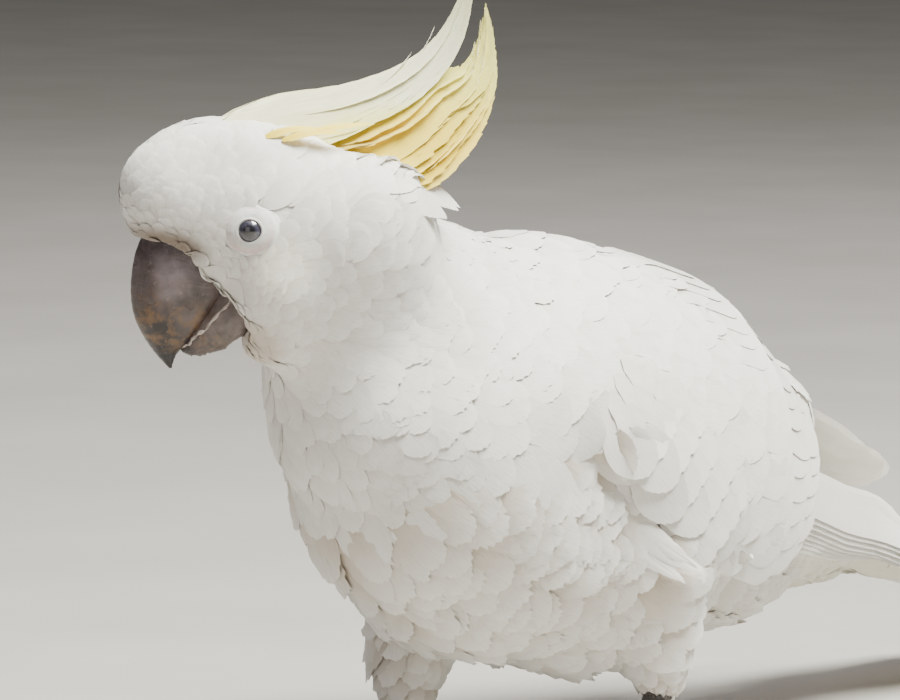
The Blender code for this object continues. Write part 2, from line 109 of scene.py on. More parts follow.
def make_camera():
    towards = way_towards(CAMERA_AZIMUTH, CAMERA_ELEVATION)
    right = Vector((0, 0, 1)).cross(towards).normalized()
    up = towards.cross(right)
    target = eye_left + right * TARGET_RIGHT * MM - up * TARGET_DOWN * MM
    data = bpy.data.cameras.new("camera")
    data.lens = CAMERA_LENS
    data.sensor_width = SENSOR_WIDTH
    data.clip_end = FARTHEST_SEEN
    camera = bpy.data.objects.new("camera", data)
    bpy.context.scene.collection.objects.link(camera)
    turned = Matrix((right, up, towards)).transposed().to_4x4()
    camera.matrix_world = Matrix.Translation(target + towards * CAMERA_DISTANCE) @ turned
    bpy.context.scene.camera = camera


make_camera()
print("camera at azimuth", CAMERA_AZIMUTH, "elevation", CAMERA_ELEVATION)

# %% [markdown]
# Finishes come from small node trees. A few helpers save typing: one starts a material with its
# main shader, one adds a node with its settings in one line, and the rest make the nodes used
# most: noise, a ramp of colours, a blend of two colours and a bump.
# %% Material helpers


def add_node(tree, kind, **settings):
    node = tree.nodes.new("ShaderNode" + kind)
    for key, value in settings.items():
        setattr(node, key, value)
    return node


def start_material(name, **shader_values):
    made = bpy.data.materials.new(name)
    made.use_nodes = True
    tree = made.node_tree
    shader = tree.nodes["Principled BSDF"]
    for key, value in shader_values.items():
        shader.inputs[key.replace("_", " ")].default_value = value
    return made, tree, shader


def noise(tree, scale, detail, coordinates, roughness=0.5):
    made = add_node(tree, "TexNoise")
    made.inputs["Scale"].default_value = scale
    made.inputs["Detail"].default_value = detail
    made.inputs["Roughness"].default_value = roughness
    tree.links.new(coordinates, made.inputs["Vector"])
    return made.outputs["Fac"]


def ramp(tree, factor, *stops):
    made = add_node(tree, "ValToRGB")
    elements = made.color_ramp.elements
    while len(elements) < len(stops):
        elements.new(0.5)
    for element, (place, colour) in zip(elements, stops):
        element.position = place
        element.color = (*colour, 1.0)
    tree.links.new(factor, made.inputs["Fac"])
    return made.outputs["Color"]


def blend(tree, factor, a, b, how="MIX"):
    made = add_node(tree, "Mix", data_type="RGBA", blend_type=how)
    slots = [s for s in made.inputs if s.type == "RGBA"]
    for socket, value in ((made.inputs[0], factor), (slots[0], a), (slots[1], b)):
        if isinstance(value, bpy.types.NodeSocket):
            tree.links.new(value, socket)
        elif isinstance(value, tuple):
            socket.default_value = (*value, 1.0)
        else:
            socket.default_value = value
    return [s for s in made.outputs if s.type == "RGBA"][0]


def bump(tree, shader, height, distance, strength=0.5, below=None):
    made = add_node(tree, "Bump")
    made.inputs["Strength"].default_value = strength
    made.inputs["Distance"].default_value = distance
    tree.links.new(height, made.inputs["Height"])
    if below is not None:
        tree.links.new(below, made.inputs["Normal"])
    tree.links.new(made.outputs["Normal"], shader.inputs["Normal"])
    return made.outputs["Normal"]


def speckled_material(name, scale, detail, stops, bumps=(), marked=False, **shader_values):
    """A finish coloured by noise between stops, over the marking where asked. Each bump is a
    noise's scale and detail, then its height and strength."""
    made, tree, shader = start_material(name, **shader_values)
    place = add_node(tree, "TexCoord").outputs["Object"]
    colour = ramp(tree, noise(tree, scale, detail, place), *stops)
    if marked:
        tone = add_node(tree, "Attribute", attribute_name="marking").outputs["Color"]
        colour = blend(tree, 1.0, tone, colour, "MULTIPLY")
    tree.links.new(colour, shader.inputs["Base Color"])
    below = None
    for bump_scale, bump_detail, height, strength in bumps:
        fine = noise(tree, bump_scale, bump_detail, place)
        below = bump(tree, shader, fine, height, strength, below)
    return made


print("material helpers ready")

# %% [markdown]
# Large joined meshes are built from arrays. One helper takes points, faces and any values that
# ride on the points, and writes them into a mesh in one go, which is far faster than adding
# faces one at a time. A few more make rings of points round a line and the faces between
# them, for the bill, the eyes, the toes and the claws.
# %% Mesh from arrays


def mesh_object(name, points, faces, material, colours=None, maps=None, normals=None):
    """faces is a list of integer arrays, each of shape (count, corners)."""
    mesh = bpy.data.meshes.new(name)
    loops = np.concatenate([f.ravel() for f in faces])
    sizes = np.concatenate([np.full(len(f), f.shape[1]) for f in faces])
    starts = np.concatenate([[0], np.cumsum(sizes)[:-1]])
    mesh.vertices.add(len(points))
    mesh.vertices.foreach_set("co", np.asarray(points, np.float32).ravel())
    mesh.loops.add(len(loops))
    mesh.loops.foreach_set("vertex_index", loops.astype(np.int32))
    mesh.polygons.add(len(sizes))
    mesh.polygons.foreach_set("loop_start", starts.astype(np.int32))
    mesh.polygons.foreach_set("loop_total", sizes.astype(np.int32))
    mesh.polygons.foreach_set("use_smooth", np.ones(len(sizes), bool))
    mesh.update(calc_edges=True)
    for map_name, values in (maps or {}).items():
        layer = mesh.uv_layers.new(name=map_name)
        layer.data.foreach_set("uv", np.asarray(values, np.float32)[loops].ravel())
    if colours is not None:
        layer = mesh.color_attributes.new("marking", "FLOAT_COLOR", "POINT")
        rgba = np.ones((len(points), 4), np.float32)
        rgba[:, :3] = colours
        layer.data.foreach_set("color", rgba.ravel())
    if normals is not None:
        mesh.normals_split_custom_set_from_vertices(normals)
    made = bpy.data.objects.new(name, mesh)
    bpy.context.scene.collection.objects.link(made)
    mesh.materials.append(material)
    return made


def ring_quads(rings, around):
    """Faces between closed rings that each have the same number of points around."""
    ring = np.arange(rings - 1)[:, None] * around
    here = np.arange(around)[None]
    beside = (here + 1) % around
    corners = (ring + here, ring + beside, ring + around + beside, ring + around + here)
    return np.stack(corners, axis=-1).reshape(-1, 4)


def rings_round(line, radii, across, third, around, squeeze=1.0):
    """Rings of points round a line, in the plane of two directions at each of its points."""
    turn = np.linspace(0, 2 * np.pi, around, endpoint=False)[None, :, None]
    spokes = squeeze * np.cos(turn) * across[:, None] + np.sin(turn) * third[:, None]
    return line[:, None] + radii[:, None, None] * spokes


def ring_map(around, along):
    return np.stack(np.broadcast_arrays(around[None], along[:, None]), axis=-1).reshape(-1, 2)


def add_rings(bm, rings):
    """Closed rings of vertices in a bmesh, with faces between each ring and the next."""
    made = [[bm.verts.new(point) for point in ring] for ring in rings]
    size = len(made[0])
    for a, b in zip(made, made[1:]):
        for k in range(size):
            bm.faces.new((a[k], a[(k + 1) % size], b[(k + 1) % size], b[k]))
    return made


def turn_faces_outwards(made, close=False):
    """Points every face out of the solid, after closing its open ends where asked."""
    bm = bmesh.new()
    bm.from_mesh(made.data)
    if close:
        bmesh.ops.holes_fill(bm, edges=bm.edges, sides=0)
    bmesh.ops.recalc_face_normals(bm, faces=bm.faces)
    bm.to_mesh(made.data)
    bm.free()


def finish_piece(made, slot, *replaced):
    """Every piece rides on the one body and may stand for nodes; slot is not used."""
    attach(made, "root")
    if replaced:
        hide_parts(*replaced)
    triangles = sum(len(p.vertices) - 2 for p in made.data.polygons)
    print(f"{made.name}: {triangles} triangles")
    return made


# %% [markdown]
# A folded wing lies round the body like a hand round a ball. Both wings are laid on one smooth
# hull, so a place on a wing is a distance along it and an angle down from the back. The hull's
# half widths and heights are read between a few measured cross sections. The right wing's tip
# stands a little higher than the left's, as it does on a bird that shuffles its wings.
# %% Wing hull
# along, height of the middle, half width, half height
HULL = np.array((
    (-60, 120, 48, 46), (-25, 112, 57, 63), (5, 106, 60, 70), (35, 101, 60, 71.5), (74, 92, 54, 67),
    (105, 81, 45, 54), (135, 69, 36, 41), (165, 60, 28, 28), (195, 48, 23, 17), (240, 38, 19, 11),
), float)
HULL_START = -63.2
WING_BACK = {"l": 0.0, "r": -4.0}
TIP_LIFT = {"l": 0.0, "r": 27.0}
TIP_LIFT_FROM, TIP_LIFT_TO = 60, 210
SIGN = {"l": 1, "r": -1}


def smooth_step(value, low, high):
    t = np.clip((np.asarray(value, float) - low) / (high - low), 0, 1)
    return t * t * (3 - 2 * t)


def hull_sizes(along):
    """Height of the middle, half width and half height at distances along the hull."""
    return (np.interp(along, HULL[:, 0], HULL[:, k]) for k in (1, 2, 3))


def tip_lift(along, side):
    return TIP_LIFT[side] * smooth_step(along, TIP_LIFT_FROM, TIP_LIFT_TO)


def moved_back(along, side):
    return WING_BACK[side] * np.clip((along + 50) / 100, 0, 1)


def hull(along, angle, inset, side):
    """Points of a wing's hull in metres; angles are in degrees from straight up."""
    along, angle = np.broadcast_arrays(np.asarray(along, float), np.asarray(angle, float))
    centre, wide, tall = hull_sizes(along)
    turn = np.radians(angle)
    x = SIGN[side] * (wide - inset) * np.sin(turn)
    height = centre + tip_lift(along, side) + (tall - inset) * np.cos(turn)
    return np.stack((x, along + moved_back(along, side) + HULL_START, height), axis=-1) * MM


# along, upper angle, lower angle of the arm under the wing feathers
ARM_EDGES = np.array((
    (-44, 42, 62), (-34, 28, 80), (-8, 17, 98), (20, 13, 112), (48, 13, 114), (70, 16, 112),
    (92, 12, 108), (112, 16, 98), (124, 24, 84),
), float)
ARM_END = {"l": 100.0, "r": 124.0}
ARM_INSET, ARM_DEPTH, ARM_ROUNDING = 0.8, 18.0, 5.0
ARM_COLUMNS, ARM_ROWS = 13, 22


def arm_pad(bm, side):
    """The flesh of the folded arm: a thick pad that fills the wing from the hull inwards."""
    along = np.linspace(ARM_EDGES[0, 0], ARM_END[side], ARM_ROWS)
    top, low = (np.interp(along, ARM_EDGES[:, 0], ARM_EDGES[:, k])[:, None] for k in (1, 2))
    t = np.linspace(0, 1, ARM_COLUMNS)[None]
    angle = top + (low - top) * t
    rounding = ARM_ROUNDING * (2 * np.abs(t - 0.5)) ** 4
    outer = hull(along[:, None] + 0 * t, angle, ARM_INSET + rounding, side)
    inner = hull(along[:, None] + 0 * t, angle, ARM_DEPTH, side)
    rings = np.concatenate((outer, inner[:, ::-1]), axis=1)
    made = add_rings(bm, rings)
    size = 2 * ARM_COLUMNS
    for ring in (made[0], made[-1]):
        for k in range(ARM_COLUMNS - 1):
            bm.faces.new((ring[k], ring[k + 1], ring[size - 2 - k], ring[size - 1 - k]))


print("hull, mm:", (hull([0, 100], 90, 0, "l") / MM).round(1).tolist())

# %% [markdown]
# Skin first. On the real bird one skin runs from the bill to the tail, so the flesh solids are
# joined, welded by a voxel remesh and smoothed. It is then drawn inwards by the depth of the
# coat, because the solids reach out to the feathers' tips. Remesh is the simple way to weld
# shapes that nearly touch: any crack narrower than a voxel closes.
# %% Weld the flesh
SKIN_VOXEL = 2.3
SKIN_ROUNDS = 6
# The thick roots of the crest belong to the crown. Each plume is cut at this distance ahead of
# the head's middle.
CREST_ROOTS = {"crest_front": -22.0, "crest_rear": -36.0}
FLESH = ("head", "neck", "trunk", "thigh_l", "thigh_r", "wing_coverts_l", "wing_coverts_r")
OWNERS = (*FLESH, "wing_secondaries_l", "wing_secondaries_r")
# The flesh runs out over and under the tail's root: middle, half sizes (mm) and its slope down.
TAIL_FLESH = ((0.0, 93.8, 65.0), (17.0, 72.0, 8.5), 17.0)


def crest_root(bm, name, end):
    """Adds the front of a plume to the flesh, cut off square and closed."""
    piece = bmesh.new()
    piece.from_mesh(nodes[name].data)
    everything = [*piece.verts, *piece.edges, *piece.faces]
    cut = bmesh.ops.bisect_plane(
        piece, geom=everything, dist=1e-7, plane_co=from_head((end, 0, 0)), plane_no=head_ahead,
        clear_inner=True)
    rim = [e for e in cut["geom_cut"] if isinstance(e, bmesh.types.BMEdge)]
    bmesh.ops.triangle_fill(piece, use_beauty=True, use_dissolve=False, edges=rim)
    mesh = bpy.data.meshes.new("crest_root")
    piece.to_mesh(mesh)
    piece.free()
    bm.from_mesh(mesh)
    bpy.data.meshes.remove(mesh)


def flesh_shape():
    bm = bmesh.new()
    place, sizes, slope = TAIL_FLESH
    wedge = Matrix.Translation(Vector(place) * MM) @ Matrix.Rotation(math.radians(-slope), 4, "X")
    wedge = wedge @ Matrix.Diagonal((*(Vector(sizes) * MM), 1))
    bmesh.ops.create_uvsphere(bm, u_segments=32, v_segments=20, radius=1, matrix=wedge)
    for name in FLESH:
        bm.from_mesh(nodes[name].data)
    for name, end in CREST_ROOTS.items():
        crest_root(bm, name, end)
    for side in "lr":
        arm_pad(bm, side)
    return bm


def welded(bm, voxel, rounds):
    """Joins everything in a bmesh into one smooth shell; gives its points and triangles."""
    bmesh.ops.recalc_face_normals(bm, faces=bm.faces)
    mesh = bpy.data.meshes.new("weld")
    bm.to_mesh(mesh)
    bm.free()
    made = bpy.data.objects.new("weld", mesh)
    bpy.context.scene.collection.objects.link(made)
    remesh = made.modifiers.new("weld", "REMESH")
    remesh.mode = "VOXEL"
    remesh.voxel_size = voxel * MM
    smooth = made.modifiers.new("smooth", "SMOOTH")
    smooth.factor = 0.5
    smooth.iterations = rounds
    triangulate = made.modifiers.new("triangles", "TRIANGULATE")
    triangulate.quad_method = "SHORTEST_DIAGONAL"
    graph = bpy.context.evaluated_depsgraph_get()
    shape = made.evaluated_get(graph).to_mesh()
    points = np.empty(len(shape.vertices) * 3)
    shape.vertices.foreach_get("co", points)
    faces = np.empty(len(shape.polygons) * 3, int)
    shape.loops.foreach_get("vertex_index", faces)
    bpy.data.objects.remove(made)
    return points.reshape(-1, 3), faces.reshape(-1, 3)


def largest_part(points, faces):
    """Keeps the biggest connected shell, so no sliver floats inside."""
    parent = np.arange(len(points))
    while True:
        low = parent[faces].min(axis=1)
        before = parent.copy()
        for corner in range(3):
            np.minimum.at(parent, faces[:, corner], low)
        if (parent == before).all():
            break
    names, counts = np.unique(parent, return_counts=True)
    kept = parent == names[counts.argmax()]
    places = np.cumsum(kept) - 1
    return points[kept], places[faces[kept[faces[:, 0]]]]


surface_points, surface_faces = largest_part(*welded(flesh_shape(), SKIN_VOXEL, SKIN_ROUNDS))
print("outer surface:", len(surface_points), "points")

# %% [markdown]
# The coat needs to know the skin's normals and which way the feathers lie. Feathers on a bird
# lie away from the bill: over the face, down the neck, along the body and down the thighs. The
# distance from the bill, walked over the skin, grows in just that way, so its slope gives the
# direction of lie everywhere. To find it each point takes the least of its neighbours'
# distances plus the edge between them, over and over, until nothing changes.
# %% Skin normals and neighbours


def unit(vectors):
    return vectors / np.maximum(np.linalg.norm(vectors, axis=-1, keepdims=True), 1e-12)


def add_to_corners(total, faces, values):
    for corner in range(faces.shape[1]):
        np.add.at(total, faces[:, corner], values)
    return total


def face_ways(points, faces):
    """A vector square to each face, as long as the face is large."""
    a, b, c = (points[faces[:, k]] for k in range(3))
    return np.cross(b - a, c - a)


def point_normals(points, faces):
    return unit(add_to_corners(np.zeros_like(points), faces, face_ways(points, faces)))


edges = np.unique(np.sort(surface_faces[:, [0, 1, 1, 2, 2, 0]].reshape(-1, 2), axis=1), axis=0)
edge_lengths = np.linalg.norm(surface_points[edges[:, 0]] - surface_points[edges[:, 1]], axis=1)
surface_normals = point_normals(surface_points, surface_faces)
valence = np.bincount(edges.ravel(), minlength=len(surface_points)).astype(float)


def relaxed(values, rounds):
    """Each point's value drifts to the mean of its neighbours'."""
    values = np.array(values, float)
    shape = (-1,) + (1,) * (values.ndim - 1)
    for _ in range(rounds):
        total = np.zeros_like(values)
        np.add.at(total, edges[:, 0], values[edges[:, 1]])
        np.add.at(total, edges[:, 1], values[edges[:, 0]])
        values = 0.5 * values + 0.5 * total / valence.reshape(shape)
    return values


# %% Distance walked from the bill
BILL_ROOT = from_head((26, 0, -14))
BILL_ROOT_REACH = 16.0
DISTANCE_ROUNDS = 12


def walked_distance(seeds):
    far = np.full(len(surface_points), np.inf)
    far[seeds] = 0.0
    while True:
        before = far.copy()
        for here, there in (edges.T, edges.T[::-1]):
            np.minimum.at(far, here, before[there] + edge_lengths)
        if (far == before).all():
            return far


bill_gap = np.linalg.norm(surface_points - BILL_ROOT, axis=1)
bill_distance = walked_distance(np.flatnonzero(bill_gap < BILL_ROOT_REACH * MM))
bill_distance = relaxed(bill_distance, DISTANCE_ROUNDS)
print("farthest from the bill, mm:", round(bill_distance.max() / MM))

# %% Lie of the feathers
LIE_ROUNDS = 16


def surface_slope(values):
    """The slope of a value over each triangle, averaged to the points."""
    a, b, c = (surface_points[surface_faces[:, k]] for k in range(3))
    va, vb, vc = (values[surface_faces[:, k]] for k in range(3))
    way = face_ways(surface_points, surface_faces)
    area = np.maximum((way**2).sum(axis=1), 1e-18)[:, None]
    slope = (
        np.cross(way, c - b) * va[:, None]
        + np.cross(way, a - c) * vb[:, None]
        + np.cross(way, b - a) * vc[:, None]
    ) / area
    return add_to_corners(np.zeros_like(surface_points), surface_faces, slope)


def along_surface(vectors):
    flat = vectors - surface_normals * (vectors * surface_normals).sum(axis=1, keepdims=True)
    return unit(flat)


lie = along_surface(surface_slope(bill_distance))
lie = along_surface(relaxed(lie, LIE_ROUNDS))
print("lie of the feathers found at", len(lie), "points")

# %% [markdown]
# The plumage differs from region to region, so each skin point is told which solid it belongs
# to. Those yes-or-no values are then relaxed over the mesh, and feather length, spacing and
# depth fade from one region into the next, as they do on a bird.
# %% Regions


def nearest_solid(names):
    trees = []
    for name in names:
        bm = bmesh.new()
        bm.from_mesh(nodes[name].data)
        trees.append(BVHTree.FromBMesh(bm))
        bm.free()
    gaps = np.empty((len(surface_points), len(names)))
    for row, point in enumerate(surface_points):
        for column, tree in enumerate(trees):
            gaps[row, column] = tree.find_nearest(point)[3]
    return gaps.argmin(axis=1)


REGION_ROUNDS = 14
owner = nearest_solid(OWNERS)
share = {
    "head": owner == 0, "neck": owner == 1, "trunk": owner == 2,
    "thigh": (owner == 3) | (owner == 4), "wing": owner >= 5,
}
share = {name: relaxed(values.astype(float), REGION_ROUNDS) for name, values in share.items()}
print("regions:", {name: round(float(values.mean()), 2) for name, values in share.items()})

# %% Even out the neck, shoulders and rump
EVEN_ROUNDS = 60
# the crown rises by this much where the crest grows, so that no gap opens under its feathers
CREST_FILL = 2.6
EVEN_EDGE_ROUNDS, CREST_EDGE_ROUNDS = 4, 8


def crest_share():
    """1 where the crest is rooted in the crown."""
    ahead, left, up = head_coordinates(surface_points).T
    narrow = 1 - smooth_step(np.abs(left), 13, 19)
    return smooth_step(up, 23, 28) * narrow * smooth_step(ahead, -46, -36)


def evening_share():
    """1 where a point follows its neighbours: neck, shoulders, flanks, rump and crest roots."""
    x, y, z = surface_points.T / MM
    neck = smooth_step(share["neck"], 0.03, 0.5)
    shoulder = (1 - smooth_step(y, -62, -36)) * smooth_step(z, 98, 116) * (1 - share["head"])
    rump = smooth_step(y, -70, -40) * (1 - smooth_step(np.abs(x), 16, 28)) * smooth_step(z, 70, 84)
    flank = smooth_step(np.abs(x), 26, 36) * (1 - smooth_step(y, -38, -8)) * smooth_step(z, 58, 72)
    flank *= 1 - share["head"]
    return np.max((neck, shoulder, rump, flank, crest_share()), axis=0).clip(0, 1)[:, None]


even = relaxed(evening_share(), EVEN_EDGE_ROUNDS)
crest_rooted = relaxed(crest_share(), CREST_EDGE_ROUNDS)[:, None]
surface_points = surface_points * (1 - even) + relaxed(surface_points, EVEN_ROUNDS) * even
surface_normals = point_normals(surface_points, surface_faces)
surface_points = surface_points + surface_normals * crest_rooted * CREST_FILL * MM
surface_normals = point_normals(surface_points, surface_faces)
lie = along_surface(relaxed(lie, 4))
print("evened out at", int((even > 0.5).sum()), "points")

# %% [markdown]
# A feather's size depends on where it grows: a few millimetres on the face, three centimetres
# on the back. One table holds the regions' values, and each skin point takes the mean of them
# by its shares. The trunk is split by which way its skin faces and how far back it lies.
# %% Plumage table
PLUMAGE = {
    # length, width, spacing, coat depth and tip lift in mm, then fray from 0 smooth to 1 downy
    "face": (8.0, 6.0, 2.1, 1.1, 0.05, 0.5),
    "crown": (19.0, 11.0, 3.8, 1.9, 0.05, 0.3),
    "cheek": (16.0, 10.5, 3.4, 2.2, 0.15, 0.6),
    "neck": (22.0, 12.5, 4.1, 2.7, 0.12, 0.6),
    "breast": (31.0, 20.0, 6.6, 4.8, 0.9, 1.0),
    "back": (33.0, 21.0, 6.6, 3.0, 0.05, 0.25),
    "rump": (32.0, 18.0, 5.6, 3.6, 0.5, 0.8),
    "vent": (36.0, 20.0, 6.8, 4.4, 0.9, 1.0),
    "belly": (30.0, 19.0, 6.4, 4.8, 0.9, 1.0),
    "thigh": (19.0, 11.0, 4.0, 3.0, 0.4, 1.0),
    "shank": (9.0, 5.6, 2.4, 1.8, 0.3, 0.9),
    "wing": (29.0, 20.0, 6.8, 2.4, 0.05, 0.12),
}

head_places = head_coordinates(surface_points)
facing_up = surface_normals[:, 2]
BELLY_FROM, BELLY_TO = -110.0, -55.0
RUMP_FROM, RUMP_TO = 0.0, 50.0


def plumage_shares():
    places = surface_points / MM
    made = {}
    near_bill = 1 - smooth_step(bill_distance / MM, 16, 44)
    side = smooth_step(np.abs(head_places[:, 1]), 12, 20) * smooth_step(-head_places[:, 2], -4, 8)
    made["face"] = share["head"] * near_bill
    made["cheek"] = share["head"] * (1 - near_bill) * side
    made["crown"] = share["head"] * (1 - near_bill) * (1 - side)
    made["neck"] = share["neck"]
    top = smooth_step(facing_up, -0.25, 0.35)
    rear = smooth_step(places[:, 1], RUMP_FROM, RUMP_TO)
    low = smooth_step(places[:, 1], BELLY_FROM, BELLY_TO)
    made["back"] = share["trunk"] * top * (1 - rear)
    made["rump"] = share["trunk"] * top * rear
    made["vent"] = share["trunk"] * (1 - top) * rear
    made["belly"] = share["trunk"] * (1 - top) * (1 - rear) * low
    made["breast"] = share["trunk"] * (1 - top) * (1 - rear) * (1 - low)
    foot = 1 - smooth_step(places[:, 2], 28, 50)
    made["thigh"] = share["thigh"] * (1 - foot)
    made["shank"] = share["thigh"] * foot
    made["wing"] = share["wing"]
    total = sum(made.values())
    return {name: values / total for name, values in made.items()}


plumage_share = plumage_shares()
plumage = sum(plumage_share[name][:, None] * np.array(row) for name, row in PLUMAGE.items())
FEATHER_LENGTH, FEATHER_WIDTH, SPACING, DEPTH, LIFT, FRAY = range(6)
print("coat depth, mm:", plumage[:, DEPTH].min().round(1), "to", plumage[:, DEPTH].max().round(1))

# %% [markdown]
# Markings are worked out once, as a colour for any point, and both the skin and the coat use
# it. The bird is white, never pure: warm cream on the body, a breath of yellow on the cheek
# and under the tail, and a brown stain round the bill's lower half, where food wipes off. The
# stain is a thin dark rim at the feathers that touch the horn and a pale bib on the throat.
# %% Markings
WHITE = np.array((0.86, 0.845, 0.80))
CHEEK_YELLOW = np.array((0.88, 0.83, 0.60))
BIB_BROWN = np.array((0.52, 0.40, 0.29))
RIM_BROWN = np.array((0.17, 0.11, 0.07))
TAIL_YELLOW = np.array((0.86, 0.81, 0.60))
# centre and half sizes, in head millimetres (ahead, left, up), and how strong each colour gets
CHEEK_LOBE, CHEEK_STRENGTH = ((-8, 22, -12), (16, 14, 14)), 0.35
BIB_LOBE, BIB_STRENGTH = ((0, 8, -38), (13, 16, 15)), 0.6
# the stained rim is an oval round the lower bill: its middle, half length and half width
RIM_MIDDLE, RIM_SIZES, RIM_STRENGTH = 21, (13.5, 11.5), 0.88
RIM_LEVEL, RIM_SLOPE = -5, 0.23
TAIL_STRENGTH = 0.45


def lobe(points, centre, radius):
    """1 at a centre and 0 beyond a radius, in head millimetres."""
    gap = np.linalg.norm((points - np.array(centre)) / np.array(radius), axis=1)
    return 1 - smooth_step(gap, 0.35, 1.0)


def tinted(colour, tint, share):
    return colour * (1 - share[:, None]) + tint * share[:, None]


def marking(points):
    place = head_coordinates(points)
    mirrored = np.column_stack((place[:, 0], np.abs(place[:, 1]), place[:, 2]))
    colour = np.tile(WHITE, (len(points), 1))
    colour = tinted(colour, CHEEK_YELLOW, lobe(mirrored, *CHEEK_LOBE) * CHEEK_STRENGTH)
    colour = tinted(colour, BIB_BROWN, lobe(mirrored, *BIB_LOBE) * BIB_STRENGTH)
    from_middle = mirrored[:, 0] - RIM_MIDDLE
    rim_gap = np.hypot(from_middle / RIM_SIZES[0], mirrored[:, 1] / RIM_SIZES[1]) - 1
    rim_level = RIM_LEVEL + RIM_SLOPE * from_middle
    rim_off = np.hypot(rim_gap * 12, mirrored[:, 2] - rim_level)
    colour = tinted(colour, RIM_BROWN, (1 - smooth_step(rim_off, 2.0, 7.5)) * RIM_STRENGTH)
    mm = points / MM
    tail = smooth_step(mm[:, 1], 30, 90) * (1 - smooth_step(mm[:, 2], 55, 80))
    return tinted(colour, TAIL_YELLOW, tail * TAIL_STRENGTH)


print("white:", WHITE)

# %% Skin mesh
SKIN_SOFTENING, SKIN_NORMAL_ROUNDS = 3, 6
skin_finish = speckled_material(
    "bird_skin", 260, 5, ((0.3, (0.90, 0.875, 0.855)), (0.7, (1.0, 1.0, 1.0))),
    ((900, 4, 0.0004, 0.5),), marked=True, Roughness=0.6)


def make_skin():
    points = surface_points - surface_normals * plumage[:, DEPTH:DEPTH + 1] * MM
    points = relaxed(points, SKIN_SOFTENING)
    made = mesh_object("skin", points, [surface_faces], skin_finish, marking(points))
    finish_piece(made, "white_plumage", "head", "neck", "trunk", "thigh_l", "thigh_r")
    return points


skin_points = make_skin()
skin_tree = BVHTree.FromPolygons(skin_points.tolist(), surface_faces.tolist())
skin_normals = unit(relaxed(point_normals(skin_points, surface_faces), SKIN_NORMAL_ROUNDS))
print("skin drawn in under the coat")

# %% [markdown]
# Feathers are set like roof tiles. Seeds are scattered over the skin, kept apart by the local
# spacing, and each grows along the lie of the coat. The spine of each feather is walked over
# the skin in short steps, so that it hugs the body's curves instead of standing off like a card.
# %% Scatter the roots
SEED = 20
CANDIDATES = 52000
rng = np.random.default_rng(SEED)


def scatter_roots():
    a, b, c = (skin_points[surface_faces[:, k]] for k in range(3))
    area = np.linalg.norm(np.cross(b - a, c - a), axis=1)
    gap = plumage[surface_faces, SPACING].mean(axis=1)
    weight = area / gap**2
    chosen = rng.choice(len(surface_faces), CANDIDATES, p=weight / weight.sum())
    mix = rng.random((CANDIDATES, 2))
    over = mix.sum(axis=1) > 1
    mix[over] = 1 - mix[over]
    mix = np.column_stack((1 - mix.sum(axis=1), mix))
    corners = surface_faces[chosen]
    place = (skin_points[corners] * mix[..., None]).sum(axis=1)
    spacing = (plumage[corners, SPACING] * mix).sum(axis=1) * MM
    tree = KDTree(CANDIDATES)
    for index, point in enumerate(place):
        tree.insert(point, index)
    tree.balance()
    alive = np.ones(CANDIDATES, bool)
    kept = []
    for index in range(CANDIDATES):
        if alive[index]:
            kept.append(index)
            for _, other, _ in tree.find_range(place[index], spacing[index]):
                alive[other] = False
    kept = np.array(kept)
    return place[kept], corners[kept], mix[kept]


roots, root_corners, root_mix = scatter_roots()


def at_roots(values):
    extra = (1,) * (values.ndim - 1)
    return (values[root_corners] * root_mix.reshape(*root_mix.shape, *extra)).sum(axis=1)


root_plumage = at_roots(plumage)
print("roots scattered:", len(roots))

# %% Walk each feather's spine
SPINE_STEPS = 6
LENGTH_SPREAD, LENGTH_LIMIT = 0.14, 0.3
TURN_SPREAD = 7.0
# how much of its heading a spine keeps at each step, the rest coming from the lie of the coat
HEADING_KEPT = 0.6


def walk_spines(lengths):
    """Points and normals along every spine: arrays of (feathers, steps + 1, 3)."""
    count = len(roots)
    turns = np.radians(rng.normal(0, TURN_SPREAD, count))
    points = np.empty((count, SPINE_STEPS + 1, 3))
    normals = np.empty_like(points)
    corner_lie = lie[surface_faces]
    corner_normals = skin_normals[surface_faces]
    face_lie = unit(corner_lie.mean(axis=1))
    face_normals = unit(corner_normals.mean(axis=1))
    for row in range(count):
        place = Vector(roots[row])
        step = lengths[row] * MM / SPINE_STEPS
        heading = None
        for k in range(SPINE_STEPS + 1):
            spot, _, face, _ = skin_tree.find_nearest(place)
            normal = Vector(face_normals[face])
            points[row, k] = spot
            normals[row, k] = normal
            way = Vector(face_lie[face])
            way = way * math.cos(turns[row]) + normal.cross(way) * math.sin(turns[row])
            if heading is not None:
                way = heading * HEADING_KEPT + way * (1 - HEADING_KEPT)
            heading = way
            heading = (heading - normal * heading.dot(normal)).normalized()
            place = spot + heading * step
    return points, normals


spread = rng.normal(0, LENGTH_SPREAD, len(roots)).clip(-LENGTH_LIMIT, LENGTH_LIMIT)
lengths = root_plumage[:, FEATHER_LENGTH] * (1 + spread)
spine_points, spine_normals = walk_spines(lengths)
print("spines walked, mean length mm:", lengths.mean().round(1))

# %% [markdown]
# A contour feather is a thin vane: barbs leave the shaft on both sides, bend towards the tip
# and hook together, and only their ends part into a soft fringe. Each vane here is a closed
# fan that follows the barbs. Columns of points run out along them, the top is arched, a second
# sheet lies just beneath, and every gap between two barbs ends in a small point at the rim.
# %% Outline of a vane
MIDDLE_STATION = 0.5
SMOOTH_RIM, FRAYED_RIM = 0.985, 0.80
BARB_JITTER, BARB_STRETCH, RIPPLE = 0.012, 0.14, 0.012
# a vane's share of its thickness at each row, from the shaft to the ends of the barbs
ROW_THICKNESS = (1.0, 1.0, 0.35, 0.1)


